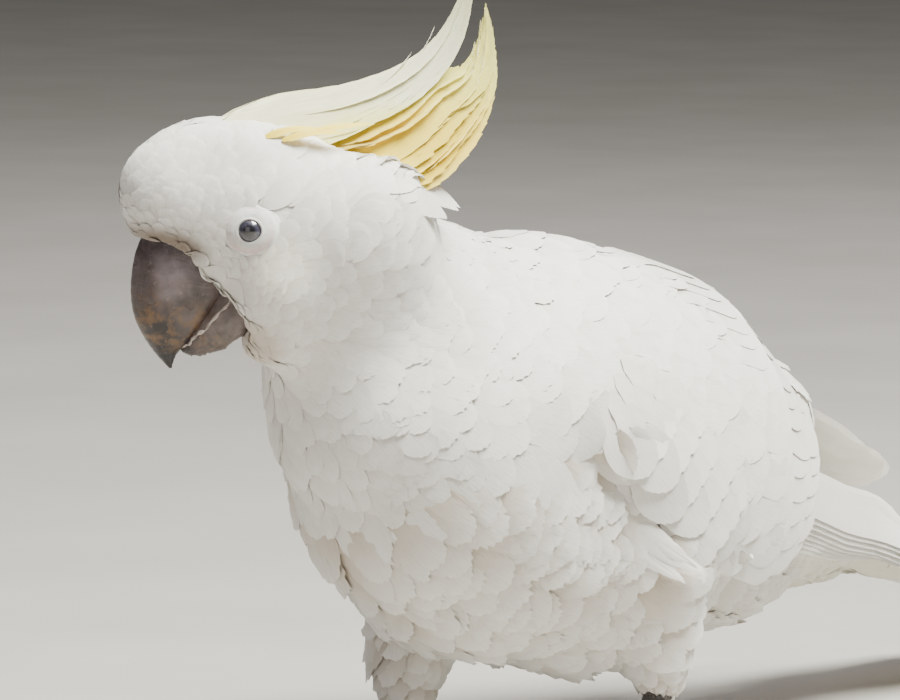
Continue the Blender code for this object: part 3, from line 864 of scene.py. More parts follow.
def contour_outline(u):
    """Half width of a body feather along its length, from 0 to 1: broad, with a round end."""
    return np.sqrt(np.clip(np.sin(np.pi * np.clip(u, 0, 1) ** 1.45), 0, 1))


def flight_outline(u):
    """A wing or tail feather: nearly parallel sides and a round end."""
    u = np.clip(u, 0, 1)
    end = np.clip((u - 0.80) / 0.20, 0, 1)
    return np.clip(u / 0.12, 0, 1) ** 0.6 * np.sqrt(1 - end**2.2) * (0.86 + 0.14 * u)


def plume_outline(u):
    """A crest feather: narrow, widest before the middle, with a long taper."""
    u = np.clip(u, 0, 1)
    return np.clip(u / 0.22, 0, 1) ** 0.7 * np.clip(1 - np.clip((u - 0.2) / 0.8, 0, 1) ** 1.7, 0, 1)


def tuft_outline(u):
    """A lock of feathers: broad for most of its length, then drawn to a soft point."""
    u = np.clip(u, 0, 1)
    return np.clip(u / 0.2, 0, 1) ** 0.7 * np.clip(1 - u**2.6, 0, 1) ** 0.85


def barb_lines(kind, share, sides, lengths, widths, reach):
    """A function that gives where the barbs lie in the flat plane at a share of their length."""
    first = 0.2 if kind is contour_outline else 0.06
    tip_u = first + (1 - first) * (1 - (1 - share) ** 1.6)
    root_u = np.maximum(tip_u - reach * (1 - 0.45 * share), 0.015)
    tip_x = widths[:, None] / 2 * kind(tip_u) * sides

    def at(r):
        x = tip_x * (1 - np.abs(1 - r) ** 1.5 * np.sign(1 - r))
        y = (root_u + (tip_u - root_u) * r**1.25) * lengths[:, None]
        return x, y

    return at


print("outlines ready")

# %% Place a vane on its spine


def along_spine(values, y, lengths):
    """Interpolates spine values at distance y, running straight on beyond the last step."""
    steps = values.shape[1] - 1
    t = y / lengths[:, None] * steps
    index = np.clip(t.astype(int), 0, steps - 1)
    t = (t - index)[..., None]
    rows = np.arange(len(values))[:, None]
    return values[rows, index] * (1 - t) + values[rows, index + 1] * t


def on_spine(batch, x, y, drop):
    """Bends flat points on to the body: along the spine, across it, and off it by its height."""
    inside = np.minimum(y, batch["lengths"][:, None])
    base = along_spine(batch["spines"], y, batch["lengths"])
    side = along_spine(batch["sideways"], inside, batch["lengths"])
    normal = along_spine(batch["normals"], inside, batch["lengths"])
    high = along_spine(batch["heights"], y, batch["lengths"])[..., 0]
    span = batch["widths"][:, None] / 2
    off = high - batch["camber"] * (x / span) ** 2 * span + batch["tilt"] * x - drop
    return base + (side * x[..., None] + normal * off[..., None]) * MM


# %% Fan of barbs


def fan_faces(columns):
    """Faces of one vane: a top and an under sheet, each of 3 rows and a row of ends, then walls."""
    sheet = 4 * columns - 1
    quads, triangles = [], []
    for start, turned in ((0, False), (sheet, True)):
        for k in range(columns - 1):
            for row in range(2):
                a, b = start + row * columns + k, start + (row + 1) * columns + k
                face = (a, a + 1, b + 1, b)
                quads.append(face[::-1] if turned else face)
            rim = start + 2 * columns + k
            face = (rim, rim + 1, start + 3 * columns + k)
            triangles.append(face[::-1] if turned else face)
    for k in range(columns - 1):
        quads.append((k + 1, k, sheet + k, sheet + k + 1))
    return np.array(quads), np.array(triangles), 2 * sheet


def build_feathers(spines, normals, widths, lengths, heights, fray, barbs, camber, tilt=0.0,
                   kind=contour_outline, reach=0.30, thickness=0.22, calm=0.6):
    """Points, faces, shading normals and each point's feather and place. Barbs are counted on
    one side; calm is how far the shading follows the body under the vane."""
    count, columns = len(spines), 2 * barbs + 1
    batch = {
        "spines": spines, "normals": normals, "lengths": lengths, "widths": widths,
        "sideways": unit(np.cross(unit(np.gradient(spines, axis=1)), normals)),
        "heights": heights[..., None], "camber": camber, "tilt": np.reshape(tilt, (-1, 1)),
    }
    turn = np.linspace(-1, 1, columns)
    rough = rng.normal(0, 1, (count, columns)) * BARB_JITTER * fray[:, None]
    share = np.clip(1 - np.abs(turn) + rough, 0, 1)
    between = (turn[1:] + turn[:-1]) / 2
    notch = rng.random((count, columns)) ** 1.6
    rim = SMOOTH_RIM + (FRAYED_RIM - SMOOTH_RIM) * fray[:, None] * notch
    stretch = 1.0 + fray[:, None] * BARB_STRETCH * rng.random((count, columns - 1)) ** 2
    at_columns = barb_lines(kind, share, np.sign(turn), lengths, widths, reach)
    middle_share = np.clip(1 - np.abs(between) + rough[:, 1:], 0, 1)
    between_columns = barb_lines(kind, middle_share, np.sign(between), lengths, widths, reach)
    rows = (at_columns(0.0), at_columns(MIDDLE_STATION), at_columns(rim), between_columns(stretch))
    ripple = rng.normal(0, RIPPLE, (count, columns)) * fray[:, None] * widths[:, None]
    points, local = [], []
    for under in (0, 1):
        for row, (x, y) in enumerate(rows):
            drop = under * thickness * ROW_THICKNESS[row] - ripple[:, :x.shape[1]] * (row > 0)
            points.append(on_spine(batch, x, y, drop))
            local.append(np.stack((x / widths[:, None] + 0.5, y / lengths[:, None]), axis=-1))
    quads, triangles, size = fan_faces(columns)
    offsets = (np.arange(count) * size)[:, None, None]
    faces = [(quads[None] + offsets).reshape(-1, 4), (triangles[None] + offsets).reshape(-1, 3)]
    local = np.concatenate(local, axis=1)
    inside = np.minimum(local[..., 1] * lengths[:, None], lengths[:, None])
    base_normals = along_spine(normals, inside, lengths)
    points = np.concatenate(points, axis=1).reshape(-1, 3)
    shading = vane_normals(points, faces, base_normals.reshape(-1, 3), size, calm)
    return points, faces, shading, np.repeat(np.arange(count), size), local.reshape(-1, 2)


def vane_normals(points, faces, base, size, calm):
    """A vane's own normals, drawn part of the way to those of the body under it."""
    total = np.zeros_like(points)
    for group in faces:
        add_to_corners(total, group, face_ways(points, group))
    own = unit(total)
    top = (np.arange(len(points)) % size < size // 2)[:, None]
    own = np.where(top & ((own * base).sum(axis=1, keepdims=True) < 0), base, own)
    return unit(own + (base - own) * calm * top)


sample_quads, sample_triangles, _ = fan_faces(2 * 8 + 1)
print("a vane of 8 barbs a side has", 2 * len(sample_quads) + len(sample_triangles), "triangles")

# %% [markdown]
# Plumage is soft because light scatters among the barbs. The finish is a rough, pale shader
# with sheen at grazing angles. Fine streaks along each feather stand for barbs too small to
# model, and the root of each feather is painted darker, as painted shade under the feather
# that overlaps it, so the tiles read apart.
# %% Plumage finish


def plumage_material(name, painted_root_shade, streaks=34.0, gloss=0.62, tip_from=0.62,
                     barb_tone=(0.93, 0.92, 0.91)):
    made, tree, shader = start_material(
        name, Roughness=gloss, Sheen_Weight=0.35, Sheen_Roughness=0.45, Specular_IOR_Level=0.25,
        Subsurface_Weight=0.18, Subsurface_Scale=0.004,
    )
    shader.inputs["Sheen Tint"].default_value = (1.0, 0.98, 0.94, 1.0)
    shader.inputs["Subsurface Radius"].default_value = (1.0, 0.85, 0.7)
    base = add_node(tree, "Attribute", attribute_name="marking").outputs["Color"]
    place = add_node(tree, "UVMap", uv_map="vane").outputs["UV"]
    split = add_node(tree, "SeparateXYZ")
    tree.links.new(place, split.inputs["Vector"])
    # Painted shade: each feather is darkest at its root, where the one above covers it, and lightens to
    # white at the tip.
    painted_half_shade = tuple(0.6 * shade + 0.4 for shade in painted_root_shade)
    stops = ((0.35, painted_root_shade), (tip_from, painted_half_shade), (0.96, (1.0, 1.0, 1.0)))
    along = ramp(tree, split.outputs["Y"], *stops)
    stretch = add_node(tree, "Mapping")
    stretch.inputs["Scale"].default_value = (streaks, 5.0, 1.0)
    tree.links.new(place, stretch.inputs["Vector"])
    fine = noise(tree, 1.0, 3, stretch.outputs["Vector"], 0.6)
    streak = ramp(tree, fine, (0.32, barb_tone), (0.62, (1.0, 1.0, 1.0)))
    wide = noise(tree, 38, 3, add_node(tree, "TexCoord").outputs["Object"])
    cloud = ramp(tree, wide, (0.3, (0.955, 0.95, 0.94)), (0.7, (1.0, 1.0, 1.0)))
    colour = base
    for layer in (along, streak, cloud):
        colour = blend(tree, 1.0, colour, layer, "MULTIPLY")
    tree.links.new(colour, shader.inputs["Base Color"])
    bump(tree, shader, fine, 0.0002, 0.35)
    return made


white_feather = plumage_material("white_feather", (0.89, 0.87, 0.85))
# Breast, belly, vent and thighs take the deepest painted root shade, warm brown, which darkens the
# underside.
downy_feather_painted_shade = plumage_material(
    "downy_feather_painted_shade", (0.70, 0.60, 0.51), streaks=46.0, gloss=0.7, tip_from=0.66)
face_feather = plumage_material("face_feather", (0.93, 0.90, 0.87), streaks=24.0, gloss=0.66)
print("plumage finishes: 3")

# %% [markdown]
# The coat is built in pieces, so each keeps well under two hundred thousand triangles. Every
# feather gets one small patch on a flat layout of the skin, at the place of its root, so that a
# later bake of colours gives each feather the colour of its own spot.
# %% Flat layout for the feathers
PATCH = 0.003
BORDER = 0.01


def unwrap(points, axis_point, axis_way, start_way):
    """A layout round an axis: the angle about it across, the distance along it upwards."""
    axis_way = unit(np.asarray(axis_way, float))
    start_way = np.asarray(start_way, float)
    start_way = unit(start_way - axis_way * (start_way @ axis_way))
    third = np.cross(axis_way, start_way)
    away = points - np.asarray(axis_point)
    along = away @ axis_way
    angle = np.arctan2(away @ third, away @ start_way) / (2 * np.pi) + 0.5
    along = (along - along.min()) / max(np.ptp(along), 1e-9)
    room = 1 - 2 * BORDER - PATCH
    return np.column_stack((angle, along)) * room + BORDER + PATCH / 2


def feather_piece(name, batch, barbs, camber, material, places, layout, replaced=(),
                  slot="white_plumage", colours=None, **shape):
    """One piece from a batch of feathers. The layout is an axis: its point, its way, its start.
    Without colours of its own each feather takes the marking of its place."""
    points, faces, shading, owner_row, local = build_feathers(*batch, barbs, camber, **shape)
    colour = marking(places)[owner_row] if colours is None else colours(points, local)
    patch = unwrap(places, *layout)[owner_row] + (np.clip(local, 0, 1) - 0.5) * PATCH
    made = mesh_object(name, points, faces, material, colour, {"OFBake": patch, "vane": local},
                       normals=shading)
    return finish_piece(made, slot, *replaced)


def own_marking(points, local):
    return marking(points)


print("one patch is", PATCH, "of the layout wide")


# %% Where the coat stays bare
# millimetres from the eye, from the bill's root, up the shank, and back along the body
EYE_BARE, BILL_BARE, ANKLE_BARE, TAIL_BARE = 7.3, 12.0, 27.0, 104.0
# Behind COVERTS_END the long feathers cover the wing. Behind and below WING_FOOT (y, z) the
# wing's own rows take over, and in the hollow of the shoulder feathers are laid one by one.
COVERTS_END = -12.0
WING_FOOT = (-26.0, 82.0)
SHOULDER_PIT, SHOULDER_BARE = (53.0, -72.0, 98.0), 15.0
# the long feathers cover the body as far as this, and between these angles down from the back
FLIGHT_COVER_END = {"l": 96.0, "r": 130.0}
FLIGHT_COVER_ANGLES = (25.0, 120.0)
FLIGHT_LEVEL = 0.925
# between the wings a feather stays only if the skin under it is nearly level
MIDLINE_HALF, MIDLINE_END, MIDLINE_HEIGHT, MIDLINE_LEVEL = 20.0, 34.0, 125.0, 0.8
# how well a wing feather's normals must agree with the hull's
LEAST_OUTWARDS = 0.3


def pokes_through(spines):
    """True for each spine that would rise through the long feathers of the wing on its side."""
    x, y, z = np.moveaxis(spines, -1, 0) / MM
    found = np.zeros(len(spines), bool)
    low, high = FLIGHT_COVER_ANGLES
    for side in "lr":
        along = y - moved_back(y - HULL_START, side) - HULL_START
        centre, wide, tall = hull_sizes(along)
        centre = centre + tip_lift(along, side)
        out, up = x * SIGN[side] / wide, (z - centre) / tall
        angle = np.degrees(np.arctan2(out, up))
        covered = (along > COVERTS_END - HULL_START + 6) & (along < FLIGHT_COVER_END[side])
        covered &= (angle > low) & (angle < high) & (np.hypot(out, up) > FLIGHT_LEVEL)
        found |= covered.any(axis=1)
    return found


def curls_under(spines, normals):
    """True for each spine whose feather would turn in under the lower edge of the wing."""
    x, y, z = np.moveaxis(spines, -1, 0) / MM
    centre, wide, tall = hull_sizes(y - HULL_START)
    outwards = unit(np.stack((x / wide**2, np.zeros_like(x), (z - centre) / tall**2), axis=-1))
    return ((normals * outwards).sum(axis=-1) < LEAST_OUTWARDS).any(axis=1)


def bare_roots():
    """True for each root that grows no feather."""
    x, y, z = roots.T / MM
    eyes = np.array([eye_left, eye_right])
    eye_gap = np.linalg.norm(spine_points[:, :, None] - eyes, axis=-1).min(axis=(1, 2)) / MM
    bill_gap = np.linalg.norm(roots - BILL_ROOT, axis=1) / MM
    found = (eye_gap < EYE_BARE) | (bill_gap < BILL_BARE) | (z < ANKLE_BARE) | (y > TAIL_BARE)
    mirrored = np.column_stack((np.abs(x), y, z))
    found |= np.linalg.norm(mirrored - SHOULDER_PIT, axis=1) < SHOULDER_BARE
    on_wing = at_roots(share["wing"]) > 0.5
    found |= on_wing & ((y > COVERTS_END) | (y > WING_FOOT[0]) & (z < WING_FOOT[1]))
    found |= on_wing & curls_under(spine_points, spine_normals)
    found |= ~on_wing & pokes_through(spine_points) & (y > COVERTS_END - 30)
    midline = (np.abs(x) < MIDLINE_HALF) & (y > 0) & (y < MIDLINE_END) & (z > MIDLINE_HEIGHT)
    found |= midline & (spine_normals[..., 2] < MIDLINE_LEVEL).any(axis=1)
    return found


bare = bare_roots()
print("roots that grow no feather:", int(bare.sum()))

# %% Grow the body coat
SWELL_SPREAD = 0.45
DOWNY_CAMBER, COAT_CAMBER, TILT_SPREAD = 0.20, 0.14, 0.02
DOWNY = ("coat_breast", "coat_belly", "coat_vent", "coat_thigh_l", "coat_thigh_r")
COAT_PIECES = {
    # piece: regions, barbs a side, layout axis point (mm), its way, its start, calm of the shading
    "coat_head": (("face", "crown", "cheek"), 5, head_centre / MM, head_ahead, head_up, 0.86),
    "coat_neck": (("neck",), 8, (-5, -145, 160), (0.1, -0.8, 0.6), (0, 0.6, 0.8), 0.76),
    "coat_breast": (("breast",), 10, (0, -80, 110), (0, 1, 0), (0, 0, 1), 0.42),
    "coat_belly": (("belly",), 10, (0, -60, 90), (0, 1, 0), (0, 0, 1), 0.40),
    "coat_back": (("back", "rump"), 10, (0, 0, 100), (0, 1, 0), (0, 0, -1), 0.66),
    "coat_vent": (("vent",), 10, (0, 40, 90), (0, 1, 0), (0, 0, 1), 0.60),
    "coat_thigh_l": (("thigh", "shank"), 7, (34, -38, 50), (0, 0, 1), (0, -1, 0), 0.60),
    "coat_thigh_r": (("thigh", "shank"), 7, (-35, -78, 50), (0, 0, 1), (0, -1, 0), 0.60),
    "coat_wing_l": (("wing",), 11, (0, -30, 100), (0, 1, 0), (-1, 0, 0), 0.84),
    "coat_wing_r": (("wing",), 11, (0, -30, 100), (0, 1, 0), (1, 0, 0), 0.84),
}


def coat_heights():
    """Height of each spine over the skin: low at the root, the coat's full depth at the tip."""
    u = np.linspace(0, 1, SPINE_STEPS + 1)
    depth = root_plumage[:, DEPTH, None]
    lift = root_plumage[:, LIFT, None] * (1 + rng.normal(0, SWELL_SPREAD, (len(roots), 1)))
    return 0.3 + (depth - 0.4) * u**0.7 + lift * u**3


def coat_finish(name):
    if name in DOWNY:
        return downy_feather_painted_shade
    return face_feather if name == "coat_head" else white_feather


def grow_coat(name, regions, barbs, axis_point, axis_way, start_way, calm):
    chosen = np.isin(dominant, regions) & ~bare
    if name.endswith("_l"):
        chosen &= roots[:, 0] > 0
    if name.endswith("_r"):
        chosen &= roots[:, 0] <= 0
    rows = np.flatnonzero(chosen)
    sizes = root_plumage[rows]
    batch = (spine_points[rows], spine_normals[rows], sizes[:, FEATHER_WIDTH], lengths[rows],
             heights[rows], sizes[:, FRAY].clip(0, 1))
    feather_piece(
        name, batch, barbs, DOWNY_CAMBER if name in DOWNY else COAT_CAMBER, coat_finish(name),
        roots[rows], (np.array(axis_point) * MM, axis_way, start_way),
        [f"wing_coverts_{name[-1]}"] if name.startswith("coat_wing") else (),
        colours=own_marking, tilt=rng.normal(0, TILT_SPREAD, len(rows)), calm=calm)


region_names = np.array(list(plumage_share))
dominant = region_names[at_roots(np.column_stack(list(plumage_share.values()))).argmax(axis=1)]
heights = coat_heights()
for piece_name, recipe in COAT_PIECES.items():
    grow_coat(piece_name, *recipe)

# %% [markdown]
# The long feathers are placed row by row, for their order is what makes a wing read as
# a wing. On the folded wing the greater coverts overlap the secondaries, each secondary covers
# part of the one below it, and the primaries slide out from under them to the blunt tip. A row
# is a list of roots and tips on the hull, and the same fan builder makes every feather.
# %% Rows on the wing
FLIGHT_STEPS = 10
# a root dips this far under the feathers before it, along this share of its length
ROOT_DIP, DIP_SHARE = 3.0, 0.3
TIP_SCATTER, TIP_TURN_SCATTER = 1.4, 0.7
NEARBY = 0.5


def root_dip(u):
    return ROOT_DIP * (1 - smooth_step(u, 0, DIP_SHARE))


def spine_lengths(spines):
    return np.linalg.norm(np.diff(spines, axis=1), axis=-1).sum(axis=1) / MM


def hull_row(side, count, root_along, root_angle, tip_along, tip_angle, inset, rise, width, fray,
             bend):
    """A row of feathers from the back down. Each value is a pair: first feather, last feather,
    or three: first, middle, last."""
    t = np.linspace(0, 1, count)

    def spread(value):
        value = np.atleast_1d(np.asarray(value, float))
        return np.interp(t, np.linspace(0, 1, len(value)), value)

    u = np.linspace(0, 1, FLIGHT_STEPS + 1)
    jitter = rng.normal(0, 1, (2, count))
    root, tip = spread(root_along), spread(tip_along) + TIP_SCATTER * jitter[0]
    along = root[:, None] + (tip - root)[:, None] * u
    root, tip = spread(root_angle), spread(tip_angle) + TIP_TURN_SCATTER * jitter[1]
    angle = root[:, None] + (tip - root)[:, None] * u**bend
    depth = spread(inset)[:, None]
    spines = hull(along, angle, depth, side)
    turn_way = hull(along, angle + NEARBY, depth, side) - hull(along, angle - NEARBY, depth, side)
    along_way = hull(along + NEARBY, angle, depth, side) - hull(along - NEARBY, angle, depth, side)
    normals = unit(np.cross(turn_way, along_way)) * -SIGN[side]
    outward = spines - hull(along, angle, depth + 5, side)
    normals *= np.sign((normals * outward).sum(axis=-1, keepdims=True))
    heights = spread(rise)[:, None] * (0.2 + 0.8 * u) - root_dip(u)
    return spines, normals, spread(width), spine_lengths(spines), heights, np.full(count, fray)


def long_feathers(name, batches, barbs, material, kind, reach, camber, layout, replaced=(),
                  thickness=0.3, calm=0.35, **looks):
    """One piece from several batches of feathers, each patch placed near its feather's root."""
    batch = [np.concatenate([batch[k] for batch in batches]) for k in range(6)]
    feather_piece(name, batch, barbs, camber, material, batch[0][:, 2], layout, replaced,
                  kind=kind, reach=reach, thickness=thickness, calm=calm, **looks)


flight_feather = plumage_material("flight_feather", (0.88, 0.86, 0.84), streaks=60.0, gloss=0.5)

# %% Both wings
WING_ROWS = {
    # count, root along, root angle, tip along, tip angle,
    # inset, rise, width, fray, bend
    "l": {
        "greater": (17, (28, 34, 26), (13, 112), (68, 76, 68), (11, 116),
                    (1.4, 1.6), (2.6, 2.6), (20, 17), 0.1, 1.15),
        "inner": (14, (28, 24), (10, 112), (86, 96, 86), (7, 109),
                  (1.0, 2.2), (1.8, 1.4), (25, 20), 0.06, 1.15),
        "outer": (12, (38, 34), (13, 110), (100, 110, 98), (12, 104),
                  (1.8, 3.4), (1.2, 0.8), (26, 20), 0.06, 1.15),
        "primary": (8, (78, 84), (88, 104), (206, 216, 172), (50, 86),
                    (3.0, 5.0), (1.0, 0.6), (18, 15), 0.05, 2.2),
    },
    "r": {
        "greater": (17, (34, 40, 30), (13, 112), (74, 84, 72), (11, 117),
                    (1.4, 1.6), (2.6, 2.6), (20, 17), 0.1, 1.15),
        "inner": (14, (44, 40), (10, 112), (104, 124, 108), (7, 106),
                  (0.8, 2.2), (1.6, 1.4), (25, 21), 0.06, 1.15),
        "outer": (12, (50, 46), (13, 110), (122, 148, 120), (13, 100),
                  (1.6, 3.4), (1.2, 0.8), (26, 21), 0.06, 1.15),
        "primary": (8, (96, 104), (48, 92), (204, 230, 180), (38, 86),
                    (2.6, 5.0), (1.0, 0.6), (22, 17), 0.05, 1.15),
    },
}


def wing_layout(side):
    return (0, -0.03, 0.1), (0, 1, 0), (-SIGN[side], 0, 0)


def make_wing(side):
    rows = [hull_row(side, *WING_ROWS[side][name]) for name in ("outer", "inner", "greater")]
    long_feathers(
        f"wing_secondary_feathers_{side}", rows, 20, flight_feather, flight_outline, 0.16, 0.06,
        wing_layout(side), [f"wing_secondaries_{side}"])
    primaries = hull_row(side, *WING_ROWS[side]["primary"])
    long_feathers(
        f"wing_primary_feathers_{side}", [primaries], 24, flight_feather, flight_outline, 0.13, 0.05,
        wing_layout(side), [f"wing_primaries_{side}"])


# %% [markdown]
# Where the folded wing meets the breast the coat has a groove. Two small groups of feathers are
# laid along it on the skin. Shoulder feathers stand over its upper edge, highest next to it,
# and a lock of three softer ones crosses its lower end, on the flank.
# %% Shoulder and flank
FLANK_LOCK = (
    # root (y, z), tip (y, z), width and height of the tip, in mm
    ((-77, 94), (-47, 72), 9.0, 7.6),
    ((-79, 89), (-50, 67), 8.0, 7.0),
    ((-78, 92), (-43, 68), 9.0, 8.2),
)
# the groove's line, then the shoulder feathers: rows along it, columns away from it, their reach
GROOVE_START, GROOVE_STEP = (-94.0, 128.0), (8.0, -8.0)
SHOULDER_ROWS, SHOULDER_COLUMNS = 5, 4
SHOULDER_ACROSS, SHOULDER_REACH = (5.0, 5.0), (24.0, -23.0)
SHOULDER_WIDTH, SHOULDER_HEIGHT, SHOULDER_FALL = 19.0, 4.2, 0.5
# rays towards the body start this far out, in metres
RAY_START = 0.2


def shoulder():
    """Roots and tips beside the groove: the feathers next to it stand highest."""
    made = []
    for row in range(SHOULDER_ROWS):
        for column in range(SHOULDER_COLUMNS):
            shift = column + 0.5 * (row % 2)
            root = [GROOVE_START[k] + row * GROOVE_STEP[k] + shift * SHOULDER_ACROSS[k] for k in (0, 1)]
            tip = [root[k] + SHOULDER_REACH[k] for k in (0, 1)]
            made.append((root, tip, SHOULDER_WIDTH, SHOULDER_HEIGHT - SHOULDER_FALL * column))
    return made


def side_row(side, feathers, fray, level):
    """Feathers that follow the skin between points seen from the side. Level ones do not dip
    into hollows: they stay as far out as the outer part of their own path."""
    u = np.linspace(0, 1, FLIGHT_STEPS + 1)
    inwards = Vector((-SIGN[side], 0, 0))
    spines, normals, heights = [], [], []
    for root, tip, width, high in feathers:
        flat = np.array(root) + (np.array(tip) - root) * u[:, None]
        starts = [Vector((RAY_START * SIGN[side], y * MM, z * MM)) for y, z in flat]
        hits = [skin_tree.ray_cast(start, inwards) for start in starts]
        spine = np.array([hit[0] for hit in hits])
        if level:
            out = np.abs(spine[:, 0])
            spine[:, 0] = SIGN[side] * np.maximum(out, np.sort(out)[-4])
        spines.append(spine)
        way = sum(np.array(hit[1]) for hit in hits)
        normals.append([np.array(hit[1]) + way / len(hits) for hit in hits])
        heights.append(high * u**0.6 - root_dip(u))
    spines, normals = np.array(spines), unit(np.array(normals))
    widths = np.array([feather[2] for feather in feathers])
    fray = np.full(len(feathers), fray)
    return spines, normals, widths, spine_lengths(spines), np.array(heights), fray


def make_side_feathers(side):
    long_feathers(
        f"flank_feathers_{side}", [side_row(side, FLANK_LOCK, 0.7, False)], 14, white_feather,
        tuft_outline, 0.2, 0.2, wing_layout(side))
    long_feathers(
        f"shoulder_feathers_{side}", [side_row(side, shoulder(), 0.3, True)], 10, white_feather,
        contour_outline, 0.3, 0.16, wing_layout(side), calm=0.72)


# one whole side, then the other
for side in "lr":
    make_wing(side)
    make_side_feathers(side)

# %% [markdown]
# The tail is twelve broad feathers, stacked with the middle pair on top and fanned a little. It
# carries on the slope of the back. The body coat and two rows of coverts above and below run
# out over its root, so no joint line shows.
# %% Tail
TAIL_ROOT = (0.0, 28.8, 84.0)
TAIL_SLOPE = 17.0
TAIL_LENGTH = 198.0
TAIL_FEATHERS = 12
TAIL_WIDTH = 27.0
TAIL_CAMBER, TAIL_HALF = 5.0, 32.0
# half spread of the feathers' middle lines at the root, and how much it grows to the tip
TAIL_SPREAD, TAIL_FAN = 5.0, 14.5
TAIL_LAYOUT = (0, 0.03, 0.05), (0, 1, 0), (0, 0, 1)


def tail_axes():
    slope = math.radians(TAIL_SLOPE)
    back = np.array((0, math.cos(slope), -math.sin(slope)))
    left = np.array((1.0, 0, 0))
    return left, back, np.cross(left, back)


def tail_spines(across, along, sag):
    """Lines in metres from distances across, along and above the tail, in millimetres."""
    left, back, up = tail_axes()
    spines = np.array(TAIL_ROOT) + across[..., None] * left + along[..., None] * back
    return (spines + sag[..., None] * up) * MM


def rolled(turn):
    """Directions out of the tail, rolled to its sides by angles in degrees."""
    left, _, up = tail_axes()
    turn = np.radians(turn)
    return up * np.cos(turn) - left * np.sin(turn)


def make_tail():
    u = np.linspace(0, 1, FLIGHT_STEPS + 1)
    place = (np.arange(TAIL_FEATHERS) - (TAIL_FEATHERS - 1) / 2) / ((TAIL_FEATHERS - 1) / 2)
    across = place[:, None] * (TAIL_SPREAD + TAIL_FAN * u**0.8)
    sag = -TAIL_CAMBER * (across / TAIL_HALF) ** 2 - 1.0 * np.abs(place)[:, None] + 0.6
    along = u * (TAIL_LENGTH - 7 * place[:, None] ** 2)
    spines = tail_spines(across, along, sag)
    normals = np.broadcast_to(rolled(-14 * place[:, None, None]), spines.shape)
    batch = (spines, normals, np.full(TAIL_FEATHERS, TAIL_WIDTH), along[:, -1],
             np.zeros_like(across), np.full(TAIL_FEATHERS, 0.12))
    long_feathers("tail_feathers", [batch], 26, flight_feather, flight_outline, 0.12, 0.05,
                  TAIL_LAYOUT, ["tail"], colours=own_marking)


make_tail()

# %% Coverts over and under the tail root
TAIL_COVERTS = {
    # piece: 1 above or -1 below, roll at the sides (degrees), then its rows:
    # count, root along, length, half spread at the root and at the tip, height off the tail, width
    "upper_tail_coverts": (1, -36, (
        (7, 92.0, 46.0, 10.0, 18.0, 8.0, 22.0),
        (7, 76.0, 50.0, 11.0, 19.0, 10.5, 24.0),
    )),
    "under_tail_coverts": (-1, 52, (
        (7, 90.0, 44.0, 8.0, 15.0, -6.0, 20.0),
        (7, 74.0, 48.0, 9.0, 16.0, -8.5, 22.0),
    )),
}
COVERT_FRAY = 0.6


def tail_covert_row(over, roll, count, root, length, spread_root, spread_tip, level, width):
    u = np.linspace(0, 1, FLIGHT_STEPS + 1)
    place = np.linspace(-1, 1, count)[:, None]
    across = place * (spread_root + (spread_tip - spread_root) * u) + rng.normal(0, 0.8, (count, 1))
    sizes = length * (1 + rng.normal(0, 0.06, count))
    along = root + u * sizes[:, None]
    base = level * (1 - 0.75 * u) + over * 1.4
    sag = base - over * 0.022 * across**2 - (TAIL_CAMBER * (across / TAIL_HALF) ** 2)
    spines = tail_spines(across, along, sag)
    normals = np.broadcast_to(rolled(roll * place[..., None]) * over, spines.shape)
    heights = np.tile(0.5 + 1.2 * u, (count, 1))
    return spines, normals, np.full(count, width), sizes, heights, np.full(count, COVERT_FRAY)


for name, (over, roll, covert_rows) in TAIL_COVERTS.items():
    batches = [tail_covert_row(over, roll, *row) for row in covert_rows]
    long_feathers(name, batches, 12, white_feather, contour_outline, 0.28, 0.10, TAIL_LAYOUT, calm=0.6)

# %% [markdown]
# The crest is two bundles of long, narrow feathers that rise from the crown and curl up and
# forward at their ends. The front bundle is white outside, the rear one yellow. Each feather
# follows the bend of its bundle at its own height and ends at its own length, so that their
# tips step along the edge, and side feathers roll over like tiles on a ridge.
# %% Crest lines
# lower or rear edge, upper or front edge, half thickness, in head millimetres (ahead, up)
FRONT_PLUME = (
    ((19, 28), (18, 33.5), 8), ((4, 29), (3, 38), 9), ((-14, 29), (-13.7, 39.8), 8),
    ((-29, 32), (-29.5, 41.8), 6.6), ((-44, 38.5), (-43.5, 46.4), 5),
    ((-56.5, 47), (-53.2, 52.4), 3.8), ((-65.2, 58.5), (-60.8, 61), 2.8),
    ((-69.4, 71.5), (-65.8, 72), 2), ((-72, 84.6), (-70.6, 84.8), 0.8),
)
REAR_PLUME = (
    ((-18, 22), (-16, 29), 8), ((-36, 17), (-32, 31), 8), ((-52, 15), (-46.5, 38), 6.5),
    ((-65.5, 25), (-57, 46.5), 5), ((-74.4, 39), (-65.8, 49), 3.8), ((-77.2, 54), (-70, 58), 2.4),
    ((-75.4, 69), (-72.6, 69.4), 0.9),
)
CREST_STEPS = 16
ROOT_SINK, SINK_SHARE = 4.0, 0.28
# how much of its width a rolled feather keeps clear of the plume's edges
REACH_SHARE = 0.26


def plume_line(plume, high, start, end, reach):
    """A line through a plume from its share start to its share end, at a share of its height
    between both edges, less a feather's reach."""
    rows = np.array([(*low, *top, half) for low, top, half in plume], float)
    t = np.linspace(0, 1, len(rows))
    s = start + (end - start) * np.linspace(0, 1, CREST_STEPS + 1)
    values = np.stack([smooth_curve(t, rows[:, k], s) for k in range(5)], axis=1)
    low, rise, half = values[:, :2], values[:, 2:4] - values[:, :2], values[:, 4]
    height = np.linalg.norm(rise, axis=1, keepdims=True)
    edge = np.minimum(reach, height / 2)
    return low + rise / height * (edge + (height - 2 * edge) * high), rise, half


